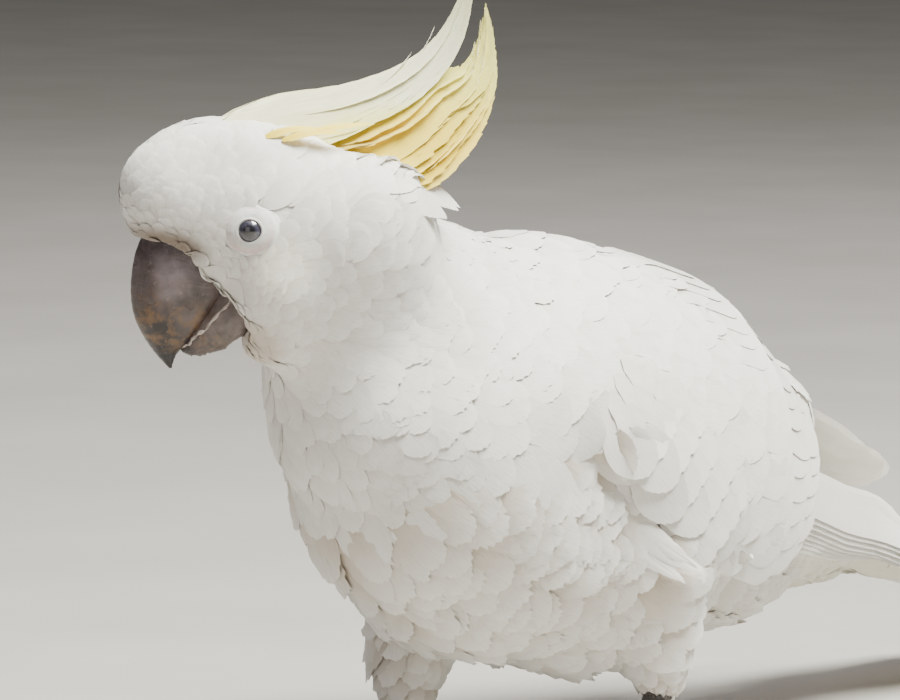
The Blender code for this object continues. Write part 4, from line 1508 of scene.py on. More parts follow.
def smooth_curve(t, values, at):
    """A curve with a level slope through evenly spaced values (Catmull and Rom's)."""
    slope = np.gradient(values, t)
    k = np.clip(np.searchsorted(t, at, side="right") - 1, 0, len(t) - 2)
    width = t[k + 1] - t[k]
    r = (at - t[k]) / width
    a, b, c, d = 2 * r**3 - 3 * r**2 + 1, r**3 - 2 * r**2 + r, 3 * r**2 - 2 * r**3, r**3 - r**2
    return a * values[k] + b * width * slope[k] + c * values[k + 1] + d * width * slope[k + 1]


# %% Crest feathers
CREST_RISE, STRAY_RISE = 0.3, 0.2
# places across the plume, as shares of its half width, that its feathers take in turn
CREST_ACROSS, ACROSS_SCATTER = (0.78, -0.78, 0.0, 0.84, -0.84), 0.03
END_SCATTER, HIGH_SCATTER = 0.012, 0.035


def head_feather(places, local, width, rise):
    """One feather's spine, normals, width, length and heights, from places on the head."""
    spine = from_head(places)
    u = np.linspace(0, 1, CREST_STEPS + 1)
    return spine, local @ HEAD_AXES, width, spine_lengths(spine[None])[0], rise * u


def crest_feather(line, rise, half, across, width, roll):
    """A feather along a line of (ahead, up) points, shifted across and rolled over that way."""
    places = np.column_stack((line[:, 0], across * half, line[:, 1]))
    up_way = unit(np.column_stack((rise[:, 0], np.zeros(len(rise)), rise[:, 1])))
    turn = np.radians(roll * across)
    local = up_way * np.cos(turn) + np.array((0, 1.0, 0)) * np.sin(turn)
    return head_feather(places, local, width, CREST_RISE)


def crest_batch(feathers, fray):
    columns = [np.array([feather[k] for feather in feathers]) for k in range(5)]
    return (*columns, np.full(len(feathers), fray))


def bundle(plume, count, starts, ends, highs, width, roll):
    """Feathers that fill a plume from its lower, short ones to its upper, long ones."""
    made = []
    for index in range(count):
        t = index / (count - 1)
        across = CREST_ACROSS[index % len(CREST_ACROSS)] + rng.normal(0, ACROSS_SCATTER)
        start = starts[0] + (starts[1] - starts[0]) * t
        end = min(1.0, ends[0] + (ends[1] - ends[0]) * t + rng.normal(0, END_SCATTER))
        high = highs[0] + (highs[1] - highs[0]) * t + rng.normal(0, HIGH_SCATTER)
        reach = REACH_SHARE * width * math.sin(math.radians(roll * abs(across)))
        line, rise, half = plume_line(plume, high, start, end, reach)
        sunk = ROOT_SINK * (1 - smooth_step(np.linspace(0, 1, len(line)), 0.0, SINK_SHARE))
        line = line - unit(rise) * sunk[:, None]
        own_width = width * (0.85 + 0.3 * rng.random())
        made.append(crest_feather(line, rise, half, across, own_width, roll))
    return made


def stray(root, middle, tip, across, width):
    """One feather on a bent line through three (ahead, left, up) points of the head."""
    s = np.linspace(0, 1, CREST_STEPS + 1)[:, None]
    bend = np.array(middle) * 2 - (np.array(root) + np.array(tip)) / 2
    places = (1 - s) ** 2 * root + 2 * s * (1 - s) * bend + s**2 * tip
    way = unit(np.gradient(places, axis=0))
    local = unit(np.cross(way, np.cross(np.array(across, float), way)))
    return head_feather(places, local, width, STRAY_RISE)


CREST_WHITE = np.array((0.90, 0.90, 0.76))
CREST_PALE = np.array((0.88, 0.88, 0.30))
CREST_YELLOW = np.array((0.93, 0.66, 0.02))
crest_feather_finish = plumage_material(
    "crest_feather", (0.98, 0.95, 0.80), streaks=30.0, gloss=0.5, barb_tone=(0.92, 0.90, 0.80))
CREST_LAYOUT = head_centre, head_left, head_up


def front_colours(points, local):
    """White, with a breath of yellow along the lower feathers and towards the tips."""
    place = head_coordinates(points)
    low = smooth_step(-place[:, 0], 8, 34) * (1 - smooth_step(place[:, 2] + 0.16 * place[:, 0], 27, 34))
    tip = smooth_step(place[:, 2], 48, 78) * 0.35
    mix = np.clip(0.12 + 0.7 * low + tip, 0, 1)[:, None]
    return CREST_WHITE * (1 - mix) + CREST_PALE * mix


def rear_colours(points, local):
    """Clear yellow low down and inside, fading to a pale edge and tip."""
    place = head_coordinates(points)
    low = 1 - smooth_step(place[:, 2], 24, 50)
    inner = 1 - smooth_step(np.abs(local[:, 0] - 0.5), 0.1, 0.5)
    mix = np.clip(0.9 * low * (0.55 + 0.45 * inner) + 0.14, 0, 1)[:, None]
    return CREST_PALE * (1 - mix) + CREST_YELLOW * mix


# %% Loose feathers and the whole crest
# Each loose feather is a root, a middle, a tip (ahead, left, up) and a width. First the yellow
# bases that show in the parting beside the crown; the right side mirrors the left.
PARTING = (
    ((-2, 13.8, 28.2), (-12, 14.5, 31.2), (-23, 13.5, 30.6), 3.0),
    ((-8, 15.2, 27.4), (-17, 15.6, 30.0), (-29, 13.5, 29.4), 2.8),
    ((-17, 13.8, 29.4), (-26, 13.4, 31.8), (-38, 10.5, 32.0), 3.0),
)
# downy wisps behind the rear plume
WISPS = (
    ((-44, 4, 20), (-59, 3, 20.0), (-70.5, 0, 26.8), 2.3),
    ((-43, 5, 18), (-57, 4, 17.4), (-67.5, 1, 23.2), 2.2),
    ((-42, 6, 17), (-54, 4, 15.2), (-63.5, 0, 19.6), 2.3),
    ((-41, 5, 15), (-51, 3, 13.2), (-59.5, -1, 16.4), 2.3),
    ((-48, 3, 26), (-64, 2, 25.5), (-75.0, -1, 33.4), 2.4),
    ((-40, 3, 14), (-48, 2, 12.2), (-55.5, -2, 13.8), 2.6),
)
# two short feathers whose ends stand off the front plume's upper edge
SNAGS = (
    ((-22, 1.5, 38.0), (-39, 1.5, 43.6), (-50.5, 1.0, 54.2), 5.0),
    ((-34, -1.0, 40.5), (-49, -0.5, 49.0), (-57.8, 0.0, 62.4), 4.6),
)
# the pointed tuft at the nape, below the crest, mirrored too
NAPE = (
    ((-34, 9, 19), (-50, 8, 13.6), (-65, 2, 3.9), 11.0),
    ((-36, 4, 20), (-51, 4, 15.0), (-65.6, 0.5, 4.6), 10.0),
    ((-36, 11, 14), (-50, 10, 8.8), (-61, 5, 1.8), 11.0),
)
BUNDLES = {
    # plume, feathers, then first and last start, end and height, then width
    "front": (
        (FRONT_PLUME, 16, (0.06, 0.0), (0.70, 1.0), (0.0, 0.85), 16.0),
        (FRONT_PLUME, 10, (0.06, 0.0), (0.92, 1.0), (0.0, 0.9), 12.0),
    ),
    "rear": (
        (REAR_PLUME, 16, (0.02, 0.0), (0.62, 1.0), (0.0, 0.95), 19.0),
        (REAR_PLUME, 10, (0.0, 0.0), (0.55, 0.9), (0.6, 1.0), 17.0),
        (REAR_PLUME, 8, (0.20, 0.30), (0.90, 1.0), (0.0, 0.5), 15.0),
    ),
}
# the feathers at a plume's sides roll over by almost this many degrees
CREST_ROLL = 76
CREST_CAMBER, CREST_CALM, CREST_THICKNESS = 0.28, 0.84, 0.18


def both_sides(rows):
    return [*rows] + [tuple((a, -b, c) for a, b, c in row[:3]) + (row[3],) for row in rows]


def plume_piece(plume, feathers, fray, reach, slot, colours):
    long_feathers(
        f"crest_{plume}_feathers", [crest_batch(feathers, fray)], 22, crest_feather_finish,
        plume_outline, reach, CREST_CAMBER, CREST_LAYOUT, [f"crest_{plume}"], slot=slot,
        colours=colours, calm=CREST_CALM, thickness=CREST_THICKNESS)


def make_crest():
    front, rear = ([feather for row in BUNDLES[plume] for feather in bundle(*row, CREST_ROLL)]
                   for plume in ("front", "rear"))
    front += [stray(*row[:3], (0, 0, 1), row[3]) for row in SNAGS]
    rear += [stray(*row[:3], (0, 1, 0.6), row[3]) for row in WISPS]
    rear += [stray(*row[:3], (0, row[0][1] / 10, 1.0), row[3]) for row in both_sides(PARTING)]
    plume_piece("front", front, 0.3, 0.14, "white_plumage", front_colours)
    plume_piece("rear", rear, 0.7, 0.16, "yellow_crest", rear_colours)
    nape = [stray(*row[:3], (-0.2, row[0][1] / 8, 0.6), row[3]) for row in both_sides(NAPE)]
    long_feathers("nape_tuft", [crest_batch(nape, 0.4)], 16, white_feather, tuft_outline, 0.2, 0.2,
                  CREST_LAYOUT, calm=0.74, thickness=0.2)


make_crest()

# %% [markdown]
# The bill is horn over bone: a deep hook that slides down over a broad lower half. Each half is
# a loft, which is a skin drawn over cross sections, with the sections read from a smooth curve.
# Fine growth lines and a slightly chipped cutting edge are moved into the points, and the worn
# brown and polished grey patches come from the finish.
# %% Bill shape
# front (ahead, up), back (ahead, up), half width, in head millimetres from the root to the tip
UPPER_BILL = (
    ((34.5, -2), (8, -8), 10.5), ((37.4, -10), (6.5, -17), 11), ((38.6, -20), (9.8, -25.5), 10.4),
    ((37.6, -28.5), (14.2, -32), 9.0), ((34.4, -35.6), (18.8, -36.8), 6.4),
    ((30.6, -41), (24, -40.6), 3.3), ((26.6, -45.4), (25.6, -45.2), 0.8),
)
LOWER_BILL = (
    ((6, -14), (-3, -26), 8.5), ((11.5, -20.5), (1.5, -33), 10.6), ((16, -27), (8, -38.5), 9.8),
    ((19.5, -32), (14.6, -41), 7.8), ((22, -36), (19.2, -41.4), 5.4), ((23.4, -38.8), (22, -40.6), 2.4),
)
BILL_RINGS, BILL_AROUND = 64, 48
GROWTH_DEPTH = 0.05


def section_values(sections, along):
    """Front (ahead, up), back (ahead, up) and half width of a loft at shares of its length."""
    rows = np.array([(*front, *back, half) for front, back, half in sections], float)
    t = np.linspace(0, 1, len(rows))
    return [smooth_curve(t, rows[:, k], along) for k in range(5)]


def horn_loft(name, sections, material, chips, ridge, replaced):
    along = np.linspace(0, 1, BILL_RINGS)
    values = section_values(sections, along)
    front_a, front_u, back_a, back_u, half = (value[:, None] for value in values)
    turn = np.linspace(0, 2 * np.pi, BILL_AROUND, endpoint=False)[None]
    cosine, sine = np.cos(turn), np.sin(turn)
    side = np.sign(sine) * np.abs(sine) ** 0.8 * (1 - ridge * np.clip(cosine, 0, 1) ** 3)
    middle_a, middle_u = (front_a + back_a) / 2, (front_u + back_u) / 2
    reach_a, reach_u = (front_a - back_a) / 2, (front_u - back_u) / 2
    growth = GROWTH_DEPTH * np.sin(along * 95 + 1.3 * np.sin(along * 17))[:, None]
    growth = growth * (1 - 0.4 * np.abs(cosine))
    edge = np.clip(-cosine, 0, 1) ** 6
    nick = chips * edge * (rng.normal(0, 1, (BILL_RINGS, 1)) * 0.5 + np.sin(along * 31)[:, None] * 0.6)
    swell = 1 + (growth + nick) / np.maximum(np.hypot(reach_a, reach_u), 1.0)
    ahead = middle_a + reach_a * cosine * swell
    up = middle_u + reach_u * cosine * swell
    left = np.maximum(half, 0.5) * side * swell
    points = from_head(np.stack((ahead, left, up), axis=-1).reshape(-1, 3))
    first = np.arange(BILL_AROUND)[None]
    caps = [first[:, ::-1], first + (BILL_RINGS - 1) * BILL_AROUND]
    uv = ring_map(np.abs(np.linspace(-1, 1, BILL_AROUND, endpoint=False)), along)
    faces = [ring_quads(BILL_RINGS, BILL_AROUND), *caps]
    made = mesh_object(name, points, faces, material, None, {"horn": uv})
    turn_faces_outwards(made)
    return finish_piece(made, "grey_horn", *replaced)


def horn_material(name, stops, wear, gloss, pale):
    """Horn coloured along its length, mottled, with worn patches, flecks and uneven polish."""
    made, tree, shader = start_material(name, Specular_IOR_Level=0.45)
    place = add_node(tree, "UVMap", uv_map="horn").outputs["UV"]
    object_place = add_node(tree, "TexCoord").outputs["Object"]
    split = add_node(tree, "SeparateXYZ")
    tree.links.new(place, split.inputs["Vector"])
    jitter = noise(tree, 130, 4, object_place)
    shift = add_node(tree, "Math", operation="MULTIPLY_ADD")
    tree.links.new(jitter, shift.inputs[0])
    shift.inputs[1].default_value = 0.34
    tree.links.new(split.outputs["Y"], shift.inputs[2])
    base = ramp(tree, shift.outputs["Value"], *stops)
    mottle = noise(tree, 120, 6, object_place, 0.62)
    mottle = ramp(tree, mottle, (0.34, (0.52, 0.50, 0.50)), (0.66, (1.42, 1.40, 1.42)))
    base = blend(tree, 1.0, base, mottle, "MULTIPLY")
    patch = noise(tree, 210, 6, object_place, 0.65)
    mask = ramp(tree, patch, (0.46, (0.0, 0.0, 0.0)), (0.60, (1.0, 1.0, 1.0)))
    worn_zone = ramp(tree, split.outputs["Y"], (0.30, (0.1, 0.1, 0.1)), (0.46, (0.95, 0.95, 0.95)),
                     (0.66, (0.85, 0.85, 0.85)), (0.84, (0, 0, 0)))
    mask = blend(tree, 1.0, mask, worn_zone, "MULTIPLY")
    colour = blend(tree, mask, base, wear)
    fleck = ramp(tree, noise(tree, 520, 4, object_place, 0.6), (0.60, (0, 0, 0)), (0.74, pale))
    colour = blend(tree, 1.0, colour, fleck, "ADD")
    tree.links.new(colour, shader.inputs["Base Color"])
    polish = noise(tree, 90, 3, object_place)
    polish = ramp(tree, polish, (0.3, (gloss - 0.08,) * 3), (0.7, (gloss + 0.14,) * 3))
    tree.links.new(polish, shader.inputs["Roughness"])
    lines = add_node(tree, "Mapping")
    lines.inputs["Scale"].default_value = (2.0, 46.0, 1.0)
    tree.links.new(place, lines.inputs["Vector"])
    fine = noise(tree, 1.6, 4, lines.outputs["Vector"], 0.6)
    first = bump(tree, shader, fine, 0.0003, 0.45)
    bump(tree, shader, noise(tree, 1500, 3, object_place), 0.00012, 0.4, first)
    return made


# %% Bill pieces
upper_horn = horn_material(
    "upper_bill_horn",
    ((0.05, (0.050, 0.040, 0.039)), (0.30, (0.118, 0.098, 0.104)), (0.55, (0.084, 0.064, 0.059)),
     (0.85, (0.030, 0.024, 0.026)), (1.0, (0.014, 0.011, 0.013))),
    (0.155, 0.088, 0.044), 0.30, (0.07, 0.062, 0.06))
lower_horn = horn_material(
    "lower_bill_horn",
    ((0.05, (0.10, 0.082, 0.08)), (0.45, (0.15, 0.125, 0.115)), (0.95, (0.05, 0.04, 0.04))),
    (0.16, 0.11, 0.08), 0.42, (0.08, 0.07, 0.065))
horn_loft("upper_bill", UPPER_BILL, upper_horn, 0.25, 0.25, ["bill_upper"])
horn_loft("lower_bill", LOWER_BILL, lower_horn, 0.35, 0.0, ["bill_lower"])

# %% Cutting edge
# where the rim runs round the lower bill, in degrees from its front, and along it
EDGE_TURN = 64.0
EDGE_FROM, EDGE_TO = 0.04, 0.93
EDGE_RINGS, EDGE_AROUND = 60, 8
EDGE_RADIUS = 0.55


def rim_of_lower_bill(side):
    """Rings of points round a wavy, uneven bead, in head millimetres."""
    along = np.linspace(EDGE_FROM, EDGE_TO, EDGE_RINGS)
    front_a, front_u, back_a, back_u, half = section_values(LOWER_BILL, along)
    turn = math.radians(EDGE_TURN)
    ahead = (front_a + back_a) / 2 + (front_a - back_a) / 2 * math.cos(turn)
    up = (front_u + back_u) / 2 + (front_u - back_u) / 2 * math.cos(turn)
    left = side * half * math.sin(turn) ** 0.8
    wave = 0.35 * np.sin(along * 23) + 0.2 * np.sin(along * 47 + 1)
    line = np.column_stack((ahead + wave * 0.6, left, up + wave * 0.6))
    way = unit(np.gradient(line, axis=0))
    across = unit(np.cross(way, (0, 1.0, 0)))
    radius = EDGE_RADIUS + 0.16 * np.sin(along * 61) + rng.normal(0, 0.05, len(along))
    radius = radius * np.sin(np.pi * np.linspace(0.05, 0.95, len(along))) ** 0.4
    return rings_round(line, radius, across, np.cross(way, across), EDGE_AROUND).reshape(-1, 3)


def cutting_edge():
    """An uneven rim along each side of the lower bill where it meets the upper, pale as a painted
    highlight.
    """
    points = from_head(np.concatenate([rim_of_lower_bill(side) for side in (1, -1)]))
    quads = ring_quads(EDGE_RINGS, EDGE_AROUND)
    faces = np.concatenate((quads, quads + EDGE_RINGS * EDGE_AROUND))
    # The rim's pale colour is a painted highlight along the edge; its bead of horn is real.
    finish = speckled_material(
        "horn_edge_painted_highlight", 420, 4, ((0.3, (0.20, 0.16, 0.14)), (0.7, (0.52, 0.45, 0.41))),
        ((1300, 3, 0.0002, 0.5),), Roughness=0.55)
    finish_piece(mesh_object("bill_cutting_edge", points, [faces], finish), "grey_horn")


cutting_edge()

# %% [markdown]
# The eye is a dark ball, and very little of it shows: the lids close round it to an opening
# of seven millimetres, in a ring of bare, finely wrinkled, chalky skin. The ball gets a cornea
# that bulges and a clear coat for the wet highlight. The lids are a turned sheet whose rows run
# outwards from the opening and end under the feathers, with shallow folds pressed into it.
# %% Eyeballs
EYE_ROWS, EYE_AROUND = 40, 48
CORNEA_BULGE, CORNEA_WIDTH, EYE_INSET = 0.30, 0.55, 0.12
IRIS = np.array((0.034, 0.033, 0.052))
PUPIL = np.array((0.008, 0.008, 0.011))
EYE_TURN = (0.16, 0.02)


def eye_frame(side):
    centre = np.array(eye_left if side == "l" else eye_right)
    out = unit(HEAD_AXES.T @ np.array((EYE_TURN[0], float(SIGN[side]), EYE_TURN[1])))
    up = unit(np.array(head_up) - out * out[2])
    return centre, out, up, np.cross(up, out)


def make_eyeball(side):
    centre, out, up, across = eye_frame(side)
    away = np.linspace(0, np.pi, EYE_ROWS)[:, None]
    turn = np.linspace(0, 2 * np.pi, EYE_AROUND, endpoint=False)[None]
    radius = EYE_RADIUS - EYE_INSET + CORNEA_BULGE * np.exp(-(away / CORNEA_WIDTH) ** 2)
    points = centre + MM * (
        (radius * np.cos(away) * np.ones_like(turn))[..., None] * out
        + (radius * np.sin(away) * np.cos(turn))[..., None] * up
        + (radius * np.sin(away) * np.sin(turn))[..., None] * across)
    quads = ring_quads(EYE_ROWS, EYE_AROUND)[:, [0, 3, 2, 1]]
    every = np.ones_like(turn)[..., None]
    pupil = (1 - smooth_step(away, 0.36, 0.42))[..., None] * every
    limbus = smooth_step(away, 0.66, 0.80)[..., None] * every
    rays = 1 + 0.35 * np.sin(turn * 23)[..., None] * (away > 0.4)[..., None]
    colour = IRIS * rays * (1 - pupil) * (1 - limbus) + PUPIL * np.maximum(pupil, limbus)
    made = mesh_object(f"eye_ball_{side}", points.reshape(-1, 3), [quads], eye_finish,
                       colour.reshape(-1, 3))
    return finish_piece(made, "dark_eye", f"eye_{side}")


eye_finish = speckled_material(
    "dark_wet_eye", 1800, 3, ((0.35, (0.7, 0.7, 0.7)), (0.7, (1.25, 1.2, 1.15))), marked=True,
    Roughness=0.22, Coat_Weight=1.0, Coat_Roughness=0.03, Specular_IOR_Level=0.6)
print("iris", IRIS, "and a clear coat")

# %% Eyelids, and both eyes
LID_AROUND = 96
LID_ROWS = (
    # distance from the eye's axis, height over the ball's middle, fold depth
    (3.30, 3.60, 0.0), (3.62, 3.95, 0.0), (3.78, 4.16, 0.0), (4.10, 4.22, 0.02),
    (4.45, 4.12, 0.04), (4.75, 3.98, 0.12), (5.05, 3.94, 0.02), (5.45, 3.72, 0.13),
    (5.80, 3.64, 0.03), (6.20, 3.40, 0.14), (6.65, 3.22, 0.04), (7.15, 2.90, 0.13),
    (7.60, 2.60, 0.05),
)
# the last rows reach the skin under the feathers; a ray from this height finds it
LID_OUTER, LID_RAY = (8.3, 9.3, 10.7), 16
LID_TONE = np.array((0.79, 0.745, 0.72))
# the pink of the bare skin, laid on most strongly below the eye, where it is painted shade
LID_PINK_AND_SHADE, PINK_AND_SHADE_STRENGTH = np.array((0.70, 0.50, 0.49)), 0.85
LID_SQUASH, LID_SAG, LID_SUNK, LID_THICKNESS = 0.06, 0.9, 0.4, 0.25


def lid_rows(centre, out, way, squash, below):
    """The rows that show: rings of points and their colours, from the opening outwards."""
    turn = np.linspace(0, 2 * np.pi, LID_AROUND, endpoint=False)
    wobble = sum(np.sin(turn * n + rng.uniform(0, 6.28)) / n for n in (2, 3, 5, 9))
    rings, tones = [], []
    for away, high, fold in LID_ROWS:
        height = high - fold * (1.6 + wobble) - LID_SAG * below * smooth_step(away, 4.6, 8)
        rings.append(centre + MM * (away * squash[:, None] * way + height[:, None] * out))
        # Darker towards the opening. Each fold is darkened as painted shade, and the pink, faint all
        # round, grows below the eye as painted shade.
        rim = 1 - smooth_step(away, 3.6, 4.4)
        painted_crease_shade = min(1.0, fold * 5)
        tone = LID_TONE * (1 - 0.5 * rim) * (1 - 0.24 * painted_crease_shade)
        pink_and_painted_shade = (0.25 + 0.75 * below) * smooth_step(away, 4.8, 7.2) * PINK_AND_SHADE_STRENGTH
        tones.append(tinted(tone, LID_PINK_AND_SHADE, pink_and_painted_shade))
    return rings, tones


def lid_edge(centre, out, way, squash, last):
    """The rows under the feathers, which sink step by step to the skin round the eye."""
    rings = []
    for index, away in enumerate(LID_OUTER):
        edge = []
        for k in range(LID_AROUND):
            start = centre + MM * (away * way[k] * squash[k] + LID_RAY * out)
            spot = skin_tree.ray_cast(Vector(start), Vector(-out))[0]
            edge.append(np.array(spot) if spot is not None else last[k])
        down = (index + 1) / len(LID_OUTER)
        sunk = (np.array(edge) - centre) @ out - LID_SUNK * MM
        level = ((last - centre) @ out) * (1 - down) + sunk * down
        rings.append(centre + MM * away * squash[:, None] * way + level[:, None] * out)
    return rings


def make_lids(side):
    centre, out, up, across = eye_frame(side)
    turn = np.linspace(0, 2 * np.pi, LID_AROUND, endpoint=False)
    way = np.cos(turn)[:, None] * up + np.sin(turn)[:, None] * across
    squash = 1 - LID_SQUASH * np.cos(turn) ** 2
    rings, tones = lid_rows(centre, out, way, squash, np.clip(-np.cos(turn), 0, 1))
    rings += lid_edge(centre, out, way, squash, rings[-1])
    tones += [np.tile(LID_TONE, (LID_AROUND, 1))] * len(LID_OUTER)
    quads = ring_quads(len(rings), LID_AROUND)
    if side == "r":
        quads = quads[:, ::-1]
    made = mesh_object(f"eye_ring_{side}", np.concatenate(rings), [quads], lid_finish,
                       np.concatenate(tones))
    solid = made.modifiers.new("thickness", "SOLIDIFY")
    solid.thickness = LID_THICKNESS * MM
    solid.offset = -1
    return finish_piece(made, "white_plumage")


lid_finish = speckled_material(
    "bare_eye_ring", 700, 4, ((0.3, (0.90, 0.87, 0.86)), (0.7, (1.0, 1.0, 1.0))),
    ((2600, 3, 0.00012, 0.5), (900, 2, 0.0002, 0.3)), marked=True,
    Roughness=0.62, Subsurface_Weight=0.2, Subsurface_Scale=0.002)
for side in "lr":
    make_eyeball(side)
    make_lids(side)

# %% [markdown]
# A parrot's foot has two toes ahead and two behind, wrapped in small grey scales with broad
# plates along the top. Shank, ball and toes are swept as tubes, welded by a fine remesh so the
# skin runs on between them, and then the plates are pressed into the points. The claws are
# separate, smooth and darker.
# %% Foot shapes
FOOT = {"l": (33, -49.2, 0), "r": (-34, -100.2, 0)}
ANKLE = {"l": (33, -33.2, 27), "r": (-35, -83.2, 24)}
TOES = {
    # turn from straight ahead, length, claw length
    "2_inner": (-25, 26, 12),
    "3_outer": (22, 37, 13),
    "4_back_outer": (150, 31, 12),
    "1_back_inner": (-155, 20, 10),
}
TOE_RADIUS, TOE_END_RADIUS, SHANK_RADIUS = 4.0, 3.2, 4.6
# height of the ball of the foot, its half sizes in metres, and where the shank meets it
BALL_HEIGHT, BALL_SIZES, PALM_TOP = 4.6, (0.0098, 0.0105, 0.0068), (0, 0, 5)
# a toe rounds off beyond this share of its length
TOE_END_SHARE = 0.93


TUBE_AROUND = 20


def tube(bm, line, radii, flat=False):
    """A closed tube along a line of points in millimetres; flat presses it on to the floor."""
    way = unit(np.gradient(line, axis=0))
    across = unit(np.cross(way, (0, 0, 1.0)) + 1e-6)
    rings = rings_round(line, radii, across, np.cross(across, way), TUBE_AROUND)
    if flat:
        rings[..., 2] = np.maximum(rings[..., 2], 0.0)
    rings = add_rings(bm, rings * MM)
    bm.faces.new(rings[0][::-1])
    bm.faces.new(rings[-1])


def toe_way(side, turn):
    angle = math.radians(turn) * SIGN[side]
    return np.array((math.sin(angle), -math.cos(angle), 0.0))


def foot_shape(side):
    bm = bmesh.new()
    foot, ankle = np.array(FOOT[side], float), np.array(ANKLE[side], float)
    down = np.linspace(-0.32, 1.0, 16)
    line = ankle + (foot + PALM_TOP - ankle) * down[:, None]
    tube(bm, line, SHANK_RADIUS * (1.10 - 0.30 * np.sin(np.pi * down.clip(0, 1))))
    ball = Matrix.Translation(Vector(foot + (0, 0, BALL_HEIGHT)) * MM)
    ball = ball @ Matrix.Diagonal((*BALL_SIZES, 1))
    bmesh.ops.create_uvsphere(bm, u_segments=32, v_segments=20, radius=1, matrix=ball)
    for turn, length, _ in TOES.values():
        s = np.linspace(0, 1, 26)
        radius = TOE_RADIUS + (TOE_END_RADIUS - TOE_RADIUS) * s
        joints = 0.10 * np.cos(2 * np.pi * s * (2.2 if length > 28 else 1.4)) + 0.02
        past = np.maximum(s - TOE_END_SHARE, 0) / 0.12
        radius = radius * (1 + joints) * np.sqrt(1 - past**2)
        line = foot + toe_way(side, turn) * (2 + (length - 2) * s)[:, None]
        line[:, 2] = radius * 0.86
        tube(bm, line, radius, flat=True)
    bmesh.ops.recalc_face_normals(bm, faces=bm.faces)
    for v in bm.verts:
        v.co.z = max(v.co.z, 0.0)
    return bm


# %% Scaled feet
FOOT_VOXEL, FOOT_ROUNDS = 0.75, 4
# length of a plate on the toes and on the shank, of a pad under the toes, and their depths
PLATE_LENGTH, SHANK_PLATE_LENGTH, PAD_LENGTH = 2.7, 2.3, 7.5
PLATE_DEPTH, SHANK_PLATE_DEPTH, PAD_DEPTH = 0.34, 0.28, 0.22


def plate_steps(away, length):
    """A step that rises along each plate and falls at its end."""
    return ((away / length) % 1.0) ** 0.6 - 0.5


def press_plates(points, normals, side):
    """Raises a broad plate over every few millimetres of each toe's top and of the shank's front."""
    mm = points / MM
    foot, ankle = np.array(FOOT[side], float), np.array(ANKLE[side], float)
    raised = np.zeros(len(mm))
    nearest = np.full(len(mm), np.inf)
    for turn, length, _ in TOES.values():
        way = toe_way(side, turn)
        away = (mm - foot) @ way
        off = np.linalg.norm(mm - foot - np.clip(away, 6, length)[:, None] * way - (0, 0, 3.4), axis=1)
        side_away = np.abs((mm - foot) @ np.array((-way[1], way[0], 0)))
        bowed = away + 0.10 * side_away**2
        plate = PLATE_DEPTH * plate_steps(bowed, PLATE_LENGTH) * smooth_step(normals[:, 2], 0.15, 0.6)
        pad = PAD_DEPTH * np.sin(bowed * 2 * np.pi / PAD_LENGTH) * smooth_step(-normals[:, 2], 0.0, 0.6)
        close = (off < nearest) & (away > 8) & (mm[:, 2] < 9.5)
        raised = np.where(close, plate + pad, raised)
        nearest = np.minimum(nearest, off)
    down = foot + PALM_TOP - ankle
    reach = ((mm - ankle) @ down) / (down @ down)
    on_shank = smooth_step(mm[:, 2], 9.5, 12.5)
    plate = plate_steps(reach * np.linalg.norm(down), SHANK_PLATE_LENGTH)
    plate = plate * smooth_step(-normals[:, 1], -0.2, 0.5)
    raised = raised * (1 - on_shank) + on_shank * SHANK_PLATE_DEPTH * plate
    moved = points + normals * raised[:, None] * MM
    moved[:, 2] = np.maximum(moved[:, 2], 0.0)
    return moved


def foot_material():
    made, tree, shader = start_material("scaled_foot_skin", Roughness=0.6, Specular_IOR_Level=0.4)
    place = add_node(tree, "TexCoord").outputs["Object"]
    cells = add_node(tree, "TexVoronoi", feature="DISTANCE_TO_EDGE")
    cells.inputs["Scale"].default_value = 720.0
    tree.links.new(place, cells.inputs["Vector"])
    crack = ramp(tree, cells.outputs["Distance"], (0.0, (0.30, 0.29, 0.28)), (0.16, (1.0, 1.0, 1.0)))
    tone = noise(tree, 160, 4, place)
    tone = ramp(tree, tone, (0.3, (0.105, 0.098, 0.095)), (0.7, (0.185, 0.175, 0.165)))
    dust = ramp(tree, noise(tree, 60, 3, place), (0.5, (0, 0, 0)), (0.8, (0.10, 0.085, 0.065)))
    colour = blend(tree, 1.0, blend(tree, 1.0, tone, crack, "MULTIPLY"), dust, "ADD")
    tree.links.new(colour, shader.inputs["Base Color"])
    height = ramp(tree, cells.outputs["Distance"], (0.0, (0, 0, 0)), (0.25, (1, 1, 1)))
    first = bump(tree, shader, height, 0.0004, 0.7)
    bump(tree, shader, noise(tree, 2200, 3, place), 0.0001, 0.4, first)
    return made


foot_finish = foot_material()


def make_feet(side):
    points, faces = welded(foot_shape(side), FOOT_VOXEL, FOOT_ROUNDS)
    points = press_plates(points, point_normals(points, faces), side)
    made = mesh_object(f"foot_{side}", points, [faces], foot_finish)
    replaced = [f"shank_{side}", f"palm_{side}", *(f"toe_{side}_{toe}" for toe in TOES)]
    return finish_piece(made, "grey_foot_skin", *replaced)


for side in "lr":
    make_feet(side)

# %% Claws
CLAW_RADII = (2.4, 0.35)
CLAW_RINGS, CLAW_AROUND, CLAW_SUNK = 22, 16, 1.2
# the arc of a claw: where it starts and how far it turns, in degrees
CLAW_START, CLAW_SWEEP = -18, 66
CLAW_THINNESS = 0.82
claw_finish = horn_material(
    "claw_horn",
    ((0.0, (0.085, 0.075, 0.07)), (0.5, (0.045, 0.038, 0.036)), (1.0, (0.022, 0.018, 0.018))),
    (0.11, 0.085, 0.065), 0.34, (0.03, 0.028, 0.026))


